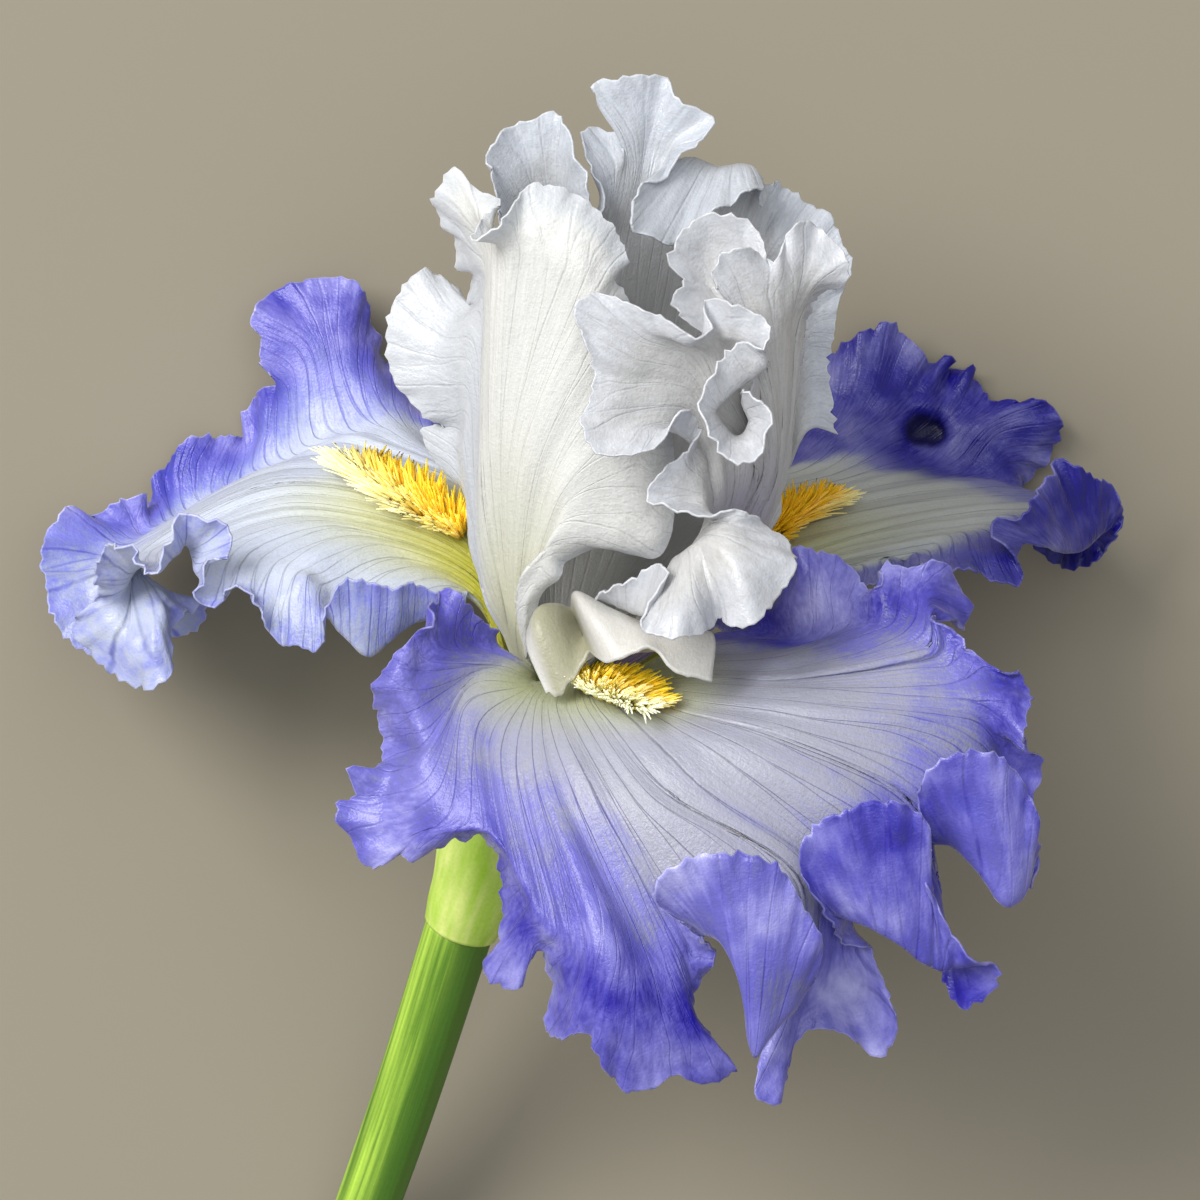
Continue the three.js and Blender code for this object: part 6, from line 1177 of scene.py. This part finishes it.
# ---------------------------------------------------------------- beards
# A caterpillar of fleshy hairs along the middle of each fall's haft: white where it runs out on to
# the blade, deep yellow further in. Each hair is grown from the petal, a soft tapered finger.
FRONT_BEARD = [(0.475, 0.125), (0.52, 0.138), (0.556, 0.15), (0.585, 0.17), (0.6, 0.192)]
LEFT_BEARD = [(0.469, 0.2), (0.477, 0.25), (0.541, 0.29), (0.643, 0.325), (0.698, 0.355)]
RIGHT_BEARD = [(0.44, 0.235), (0.5, 0.275), (0.56, 0.302), (0.6, 0.33), (0.62, 0.355)]
BEARD_STEPS = 24
HAIR_RINGS = 5
HAIR_SIDES = 4
HAIR_TAPER = 0.62                           # share of the thickness that the tip lacks
HAIR_MARKS = ("tip", "far", "own")


def beard_spine(blade, path):
    """Points along a beard's path on the petal, each with the petal's upper side's direction."""
    look = (UP_FLOWER + Vector((0, 0, 0.5))).normalized()
    spots = []
    for j in range(BEARD_STEPS + 1):
        x = j / BEARD_STEPS * (len(path) - 1)
        i = min(int(x), len(path) - 2)
        u = path[i][0] + (path[i + 1][0] - path[i][0]) * (x - i)
        v = path[i][1] + (path[i + 1][1] - path[i][1]) * (x - i)
        n = blade.normal(u, v)
        spots.append((blade.at(u, v), n if n.dot(look) > 0 else -n))
    return spots


def make_hair_peg():
    """A four-sided peg, a unit high and cut across into rings, from which each hair is bent."""
    bm = bmesh.new()
    bmesh.ops.create_cone(bm, cap_ends=True, segments=HAIR_SIDES, radius1=1, radius2=1, depth=1)
    upright = [edge for edge in bm.edges if abs(edge.verts[0].co.z - edge.verts[1].co.z) > 0.5]
    bmesh.ops.subdivide_edges(bm, edges=upright, cuts=HAIR_RINGS - 2)
    mesh = bpy.data.meshes.new("hair_peg")
    bm.to_mesh(mesh)
    bm.free()
    return mesh


HAIR_PEG = make_hair_peg()


def grow_hair(bm, layers, foot, way, bend, thick, pale, own):
    """Adds a peg and bends it into a tapered finger."""
    grown = len(bm.verts)
    bm.from_mesh(HAIR_PEG)
    bm.verts.ensure_lookup_table()
    for vert in bm.verts[grown:]:
        f = vert.co.z + 0.5
        along = (way + bend * (2 * f)).normalized()
        a = along.orthogonal().normalized()
        radius = thick / 2 * (1 - HAIR_TAPER * f ** 2.2)
        aside = a * vert.co.x + along.cross(a) * vert.co.y
        vert.co = place(foot + way * f + bend * (f * f) + aside * radius)
        vert[layers["tip"]] = f
        vert[layers["far"]] = pale
        vert[layers["own"]] = own


def beard(name, node, blade, path, half, lift, hairs, length, thick, white_side, seed, material):
    """Curved, tapered hairs that stand along a path on the petal, within the width "half" on both
    sides of it, longer and paler on the side that "white_side" gives as 1 or -1. The attribute
    "tip" runs up each hair, "far" is how pale its place is and "own" is a hair's own shade."""
    rng = random.Random(seed)
    spine = beard_spine(blade, path)
    bm = bmesh.new()
    layers = {key: bm.verts.layers.float.new(key) for key in HAIR_MARKS}
    for _ in range(hairs):
        far = rng.random()
        x = far * BEARD_STEPS
        i = min(int(x), BEARD_STEPS - 1)
        foot = spine[i][0].lerp(spine[i + 1][0], x - i)
        up = spine[i][1].lerp(spine[i + 1][1], x - i).normalized()
        run = (spine[i + 1][0] - spine[i][0]).normalized()
        side = run.cross(up).normalized()
        off = rng.uniform(-1, 1)
        taper = math.sin(math.pi * (0.14 + 0.74 * far))
        foot = foot + side * (off * half * taper) + up * (lift * 0.4)
        lean = (up * (1 - 0.25 * far) + side * (off * 0.95 + rng.gauss(0, 0.1))
                + run * (0.25 + 0.9 * far * far + rng.gauss(0, 0.1))).normalized()
        size = length * (0.72 + 0.5 * rng.random()) * (0.7 + 0.3 * taper)
        size *= 1 + 0.4 * far * max(off * white_side, 0)
        stray = Vector([rng.gauss(0, 0.14) for _ in range(3)])
        bend = (run * 0.5 + side * off * 0.6 - up * 0.45 + stray) * size * 0.32
        pale = 0.4 * far + 0.6 * (0.5 + 0.5 * off * white_side)
        grow_hair(bm, layers, foot, lean * size, bend, thick, pale, rng.random())
    for face in bm.faces:
        face.smooth = True
    piece = new_piece(name, bm, material)
    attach(piece, "root")
    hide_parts(node)


def beard_material(name, root, inner, outer, turn_low, turn_high):
    """Hair tissue: the colour "root" at the petal, and "inner" turning to "outer" as hairs stand in
    paler places, from "turn_low" to "turn_high"."""
    material, tree = new_material(name)
    tip, far, own = (attribute(tree, key) for key in HAIR_MARKS)
    mottle = speckle(tree, tree.nodes.new("ShaderNodeTexCoord").outputs["Object"], 600.0, 2.0)
    where = add(tree, far, times(tree, less(tree, own, 0.5), 0.16))
    tone = blend(tree, ramp(tree, where, turn_low, turn_high), (*inner, 1), (*outer, 1))
    tone = blend(tree, ramp(tree, tip, 0.0, 0.5, 0.8, 0.0), tone, (*root, 1))
    # brightness lifted over one: painted light on hairs that lie in the shade of the style arm and standards,
    # varied by each hair's own shade and a fine speckle
    light = add(tree, 1.0, add(tree, times(tree, own, 0.25), times(tree, mottle, 0.2)))
    finish_tissue(tree, retone(tree, tone, 1.0, light), None, 0.45, 0.4, 0.5)
    return material


front_beard_hair = beard_material(
    "front_beard_hair", root=(1, 0.9, 0.16), inner=(1, 0.84, 0.04), outer=(0.97, 0.97, 0.86),
    turn_low=0.38, turn_high=0.74)
left_beard_hair = beard_material(
    "left_beard_hair", root=(0.95, 0.76, 0.07), inner=(1, 0.84, 0.07), outer=(0.97, 0.96, 0.74),
    turn_low=0.32, turn_high=0.82)
# The right beard's darker, duller colours are partly painted shade of the side away from the lamp.
right_beard_hair = beard_material(
    "right_beard_hair", root=(0.7, 0.56, 0.03), inner=(0.9, 0.68, 0.02), outer=(0.9, 0.88, 0.6),
    turn_low=0.6, turn_high=1.0)
beard("front_beard", "beard_front", FRONT_BLADE, FRONT_BEARD, half=3.2, lift=1.8, hairs=640,
      length=4.4, thick=0.46, white_side=1, seed=71, material=front_beard_hair)
beard("left_beard", "beard_left", LEFT_BLADE, LEFT_BEARD, half=3.3, lift=1.7, hairs=640,
      length=4.4, thick=0.54, white_side=-1, seed=73, material=left_beard_hair)
beard("right_beard", "beard_right", RIGHT_BLADE, RIGHT_BEARD, half=2.4, lift=1.7, hairs=520,
      length=3.8, thick=0.48, white_side=1, seed=79, material=right_beard_hair)
bpy.data.meshes.remove(HAIR_PEG)

# ---------------------------------------------------------------- ovary and perianth tube
# The ribbed green ovary stands on the stem and runs up into the tube, whose mouth spreads under the
# six hafts. Living tissue, almost all of it inside the bracts.
TUBE_PATH = [(-21.42, -50.24, -17.02), (-18.6, -42.5, -13.2), (-14.6, -31, -8.2), (-10.4, -21, -3.9),
             (-7.65, -14.9, -1.9), (-7.12, -13.85, -1.4)]
TUBE_RADII = [(0, 3.6), (0.18, 4.5), (0.45, 4.4), (0.66, 3.7), (0.86, 4.4), (0.94, 6.2), (1, 7.5)]
THROAT = [(-0.9, 7.1), (-0.75, 5.7), (0.2, 5.4), (0.95, 5.0)]   # height over the heart, radius
TUBE_RINGS = 40
MOUTH_FROM = 0.93                           # share of the path from which rings face up the flower
PAINTED_SHADE_TURN = 0.76                       # share of the way round, from the top over the left, where the painted shade is deepest


def path_reader(points):
    """A smooth path through points: gives place and direction at a share of its length."""
    p = [Vector(q) for q in points]
    run = [0.0]
    for a, b in zip(p, p[1:]):
        run.append(run[-1] + (b - a).length)
    t = [r / run[-1] for r in run]
    m = slopes(t, p)

    def at(f, near=0.01):
        f = min(max(f, 0), 1)
        ahead = hermite(t, p, m, min(f + near, 1)) - hermite(t, p, m, max(f - near, 0))
        return hermite(t, p, m, f), ahead.normalized()
    return at


def spoke(along, turn):
    """The direction out of a path at a turn, counted from the top over the left."""
    a = (Vector((0, 0, 1)) - along * along.z).normalized()
    return a * math.cos(turn) + along.cross(a) * math.sin(turn)


def tube(name, rings, sides, ridge, ridges, material):
    """A closed tube through rings of (centre, along, radius), with shallow lengthwise ridges: a
    grid rolled up, joined along its seam and filled at both ends."""
    last = len(rings) - 1
    bm, grid, _, uv = bmesh_grid(sides, last, (), "round_along")
    where = {}
    for q in range(sides + 1):
        turn = 2 * math.pi * q / sides
        for j, (centre, along, radius) in enumerate(rings):
            r = radius * (1 + ridge * math.cos(ridges * turn))
            grid[q][j].co = place(centre + spoke(along, turn) * r)
            where[grid[q][j]] = (q / sides, j / last)
    smooth_and_map(bm, uv, where)
    bmesh.ops.remove_doubles(bm, verts=bm.verts, dist=0.001 * MM)
    bmesh.ops.holes_fill(bm, edges=bm.edges, sides=0)
    bmesh.ops.recalc_face_normals(bm, faces=bm.faces)
    return new_piece(name, bm, material)


def green_material(name, dark, light, waves, roughness, glow, painted_shade_side=0.0):
    """Green plant skin: long pale and dark streaks along it, fine ribs and a waxy shine, and a painted
    shade down one side, as strong as its last argument says."""
    material, tree = new_material(name)
    coordinates = tree.nodes.new("ShaderNodeUVMap")
    coordinates.uv_map = "round_along"
    round_along = coordinates.outputs[0]
    broad = streaks(tree, round_along, (waves * 0.25, 1.2, 1))
    fine = streaks(tree, round_along, (waves, 2.5, 1), 3.0)
    dots = speckle(tree, tree.nodes.new("ShaderNodeTexCoord").outputs["Object"], 1800.0, 2.0)
    value = add(tree, times(tree, broad, 0.7), times(tree, fine, 0.5))
    tone = blend(tree, ramp(tree, value, 0.38, 0.82), (*dark, 1), (*light, 1))
    split = tree.nodes.new("ShaderNodeSeparateXYZ")
    tree.links.new(round_along, split.inputs[0])
    # painted shade: the colour turns to the dark one round the side away from the lamp
    turned = calc(tree, "FRACT", add(tree, split.outputs[0], 0.5 - PAINTED_SHADE_TURN))
    aside = calc(tree, "ABSOLUTE", less(tree, turned, 0.5))
    tone = blend(tree, ramp(tree, aside, 0.17, 0.31, painted_shade_side, 0.0), tone, (*dark, 1))
    skin_colour = retone(tree, tone, 1.0, add(tree, 0.9, times(tree, dots, 0.2)))
    ribbed = relief(tree, add(tree, fine, times(tree, dots, 0.3)), 0.5, 0.2)
    finish_tissue(tree, skin_colour, ribbed, roughness, 0.4, glow)
    return material


tube_at = path_reader(TUBE_PATH)
tube_rings = []
for j in range(TUBE_RINGS + 1):
    f = j / TUBE_RINGS
    centre, along = tube_at(f)
    tube_rings.append((centre, UP_FLOWER if f > MOUTH_FROM else along, read(TUBE_RADII, f)[0]))
for height, radius in THROAT:
    tube_rings.append((HEART + UP_FLOWER * height, UP_FLOWER, radius))
ovary_skin = green_material(
    "ovary_skin", dark=(0.2, 0.34, 0.05), light=(0.42, 0.58, 0.14), waves=40.0, roughness=0.45,
    glow=0.1)
ovary = tube("ovary_and_tube", tube_rings, sides=48, ridge=0.02, ridges=6, material=ovary_skin)
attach(ovary, "root")
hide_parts("ovary_tube")

# ---------------------------------------------------------------- bracts
# Two pointed green valves wrap the ovary, one over the other, soft and a little papery at the edge.
# The outer one swells over the ovary and ends on the stem.
BRACT_THICKNESS = 0.8
BRACT_EDGE_THICKNESS = 0.5                  # share of it left at the edge
BRACT_END = 0.62                            # share of the tube's path that the taller one reaches
BRACT_EDGE_SHORT = 0.62                     # share of its height that its edge falls short
BRACT_WAVE = 0.3
BRACT_COLUMNS = 72
BRACT_ROWS = 60


def bract(name, node, turn, wrap, radius, height, swell, material):
    """A valve wrapped round the tube, its base drawn in and its end drawn to a point. "wrap" is
    how far round it goes, in radians, and "height" the share of the tube's path it covers."""
    bm, grid, layers, uv = bmesh_grid(BRACT_COLUMNS, BRACT_ROWS, ("along",), "round_along")
    where = {}
    for i in range(BRACT_COLUMNS + 1):
        u = i / BRACT_COLUMNS
        edge = abs(2 * u - 1)
        for j in range(BRACT_ROWS + 1):
            v = j / BRACT_ROWS
            f = v * height * (1 - BRACT_EDGE_SHORT * edge ** 1.7) + 0.003
            centre, along = tube_at(min(f, 0.98))
            arch = math.sin(math.pi * min(f / BRACT_END, 1))
            belly = radius * (0.83 + 0.05 * ease(0, 0.1, f) + 0.14 * arch)
            belly += swell * ease(0.15, 0.42, f) * (1 - 0.6 * ease(0.45, BRACT_END, f))
            belly += BRACT_WAVE * noise.noise((u * 11, v * 1.2, radius)) * ease(0, 0.3, v)
            vert = grid[i][j]
            vert.co = place(centre + spoke(along, turn + (u - 0.5) * wrap) * belly)
            vert[layers["along"]] = 0.5 + 0.5 * max(v, edge) ** 4
            where[vert] = (u * wrap / 6.3, v)
    smooth_and_map(bm, uv, where)
    piece = new_sheet(name, bm, BRACT_THICKNESS, BRACT_EDGE_THICKNESS, material)
    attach(piece, "root")
    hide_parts(node)


# Its lime is made brighter than the bract's own, partly painted light that makes up for the front fall's
# shade on it.
bract_skin = green_material(
    "bract_skin", dark=(0.48, 0.78, 0.05), light=(0.92, 1.0, 0.34), waves=26.0, roughness=0.42,
    glow=0.25)
bract("inner_bract", "spathe_inner", turn=-1.6, wrap=3.6, radius=5.2, height=0.5, swell=0,
      material=bract_skin)
bract("outer_bract", "spathe_outer", turn=0.5, wrap=4.6, radius=6.5, height=BRACT_END, swell=1.1,
      material=bract_skin)

# ---------------------------------------------------------------- stem
# The flower stem: round, green, finely ribbed along its length and cut square at the end, which
# rests on the table. Its top stands in the bracts.
STEM_PATH = [(-21.38, -49.75, -16.8), (-31.2, -80, -32.2), (-41.6, -108.91, -45.85)]
STEM_TOP_RADIUS = 5.3
STEM_END_RADIUS = 4.8
STEM_RINGS = 60
TABLE = -49.65                              # height of the table from the nets' zero
stem_at = path_reader(STEM_PATH)
stem_rings = []
for j in range(STEM_RINGS + 1):
    f = j / STEM_RINGS
    centre, along = stem_at(f)
    stem_rings.append((centre, along, STEM_TOP_RADIUS + (STEM_END_RADIUS - STEM_TOP_RADIUS) * f))
# The stem's dark side is painted shade, from the lamp at the upper left.
stem_skin = green_material(
    "stem_skin", dark=(0.06, 0.17, 0.01), light=(0.5, 0.76, 0.09), waves=40.0, roughness=0.35,
    glow=0.05, painted_shade_side=0.95)
stem = tube("flower_stem", stem_rings, sides=64, ridge=0.012, ridges=9, material=stem_skin)
for vert in stem.data.vertices:
    vert.co.z = max(vert.co.z, place((0, 0, TABLE)).z)
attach(stem, "root")
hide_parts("stem")

# ---------------------------------------------------------------- floor, light and camera
# The flower lies on a plain pale floor in soft light from the upper left, seen from straight above.
# The floor reaches far past the picture, in metres as the lights are.
FLOOR_REACH = 3
FLOOR_COLOUR = (0.262, 0.234, 0.18, 1)
ROOM_COLOUR = (0.82, 0.83, 0.84, 1)
ROOM_LIGHT = 0.57
MIDDLE = (0, 0, 0.05)
floor_skin, floor_tree = new_material("floor_paper")
floor_paint = floor_tree.nodes.new("ShaderNodeBsdfPrincipled")
floor_paint.inputs["Base Color"].default_value = FLOOR_COLOUR
floor_paint.inputs["Roughness"].default_value = 0.9
floor_out = floor_tree.nodes.new("ShaderNodeOutputMaterial")
floor_tree.links.new(floor_paint.outputs[0], floor_out.inputs["Surface"])
floor_bm = bmesh.new()
bmesh.ops.create_grid(floor_bm, x_segments=1, y_segments=1, size=FLOOR_REACH)
floor = new_piece("floor", floor_bm, floor_skin)


def soft_light(name, at, size, watts, colour):
    """A round soft lamp, turned to the flower's middle."""
    lamp = bpy.data.lights.new(name, "AREA")
    lamp.shape = "DISK"
    lamp.size = size
    lamp.energy = watts
    lamp.color = colour
    thing = bpy.data.objects.new(name, lamp)
    thing.location = at
    thing.rotation_euler = (Vector(MIDDLE) - Vector(at)).to_track_quat("-Z", "Y").to_euler()
    bpy.context.collection.objects.link(thing)


soft_light("window", at=(-1.5, 1.0, 1.85), size=1.6, watts=72, colour=(1, 0.985, 0.95))
soft_light("sky", at=(0.1, 0.3, 1.6), size=1.4, watts=8, colour=(0.94, 0.97, 1))
world = bpy.data.worlds.new("room")
world.use_nodes = True
world.node_tree.nodes["Background"].inputs["Color"].default_value = ROOM_COLOUR
world.node_tree.nodes["Background"].inputs["Strength"].default_value = ROOM_LIGHT
bpy.context.scene.world = world
bpy.context.scene.view_settings.view_transform = "Standard"

CAMERA_HEIGHT = 1500                        # millimetres over the nets' zero
FOCUS_DEPTH = 20                            # height of the picture's plane over that zero
FIELD = 180                                 # millimetres across the picture at that plane
SENSOR = 36
lens = bpy.data.cameras.new("camera")
lens.sensor_width = SENSOR
lens.lens = SENSOR * (CAMERA_HEIGHT - FOCUS_DEPTH) / FIELD
camera = bpy.data.objects.new("camera", lens)
camera.location = place((0, 0, CAMERA_HEIGHT))
bpy.context.collection.objects.link(camera)
bpy.context.scene.camera = camera
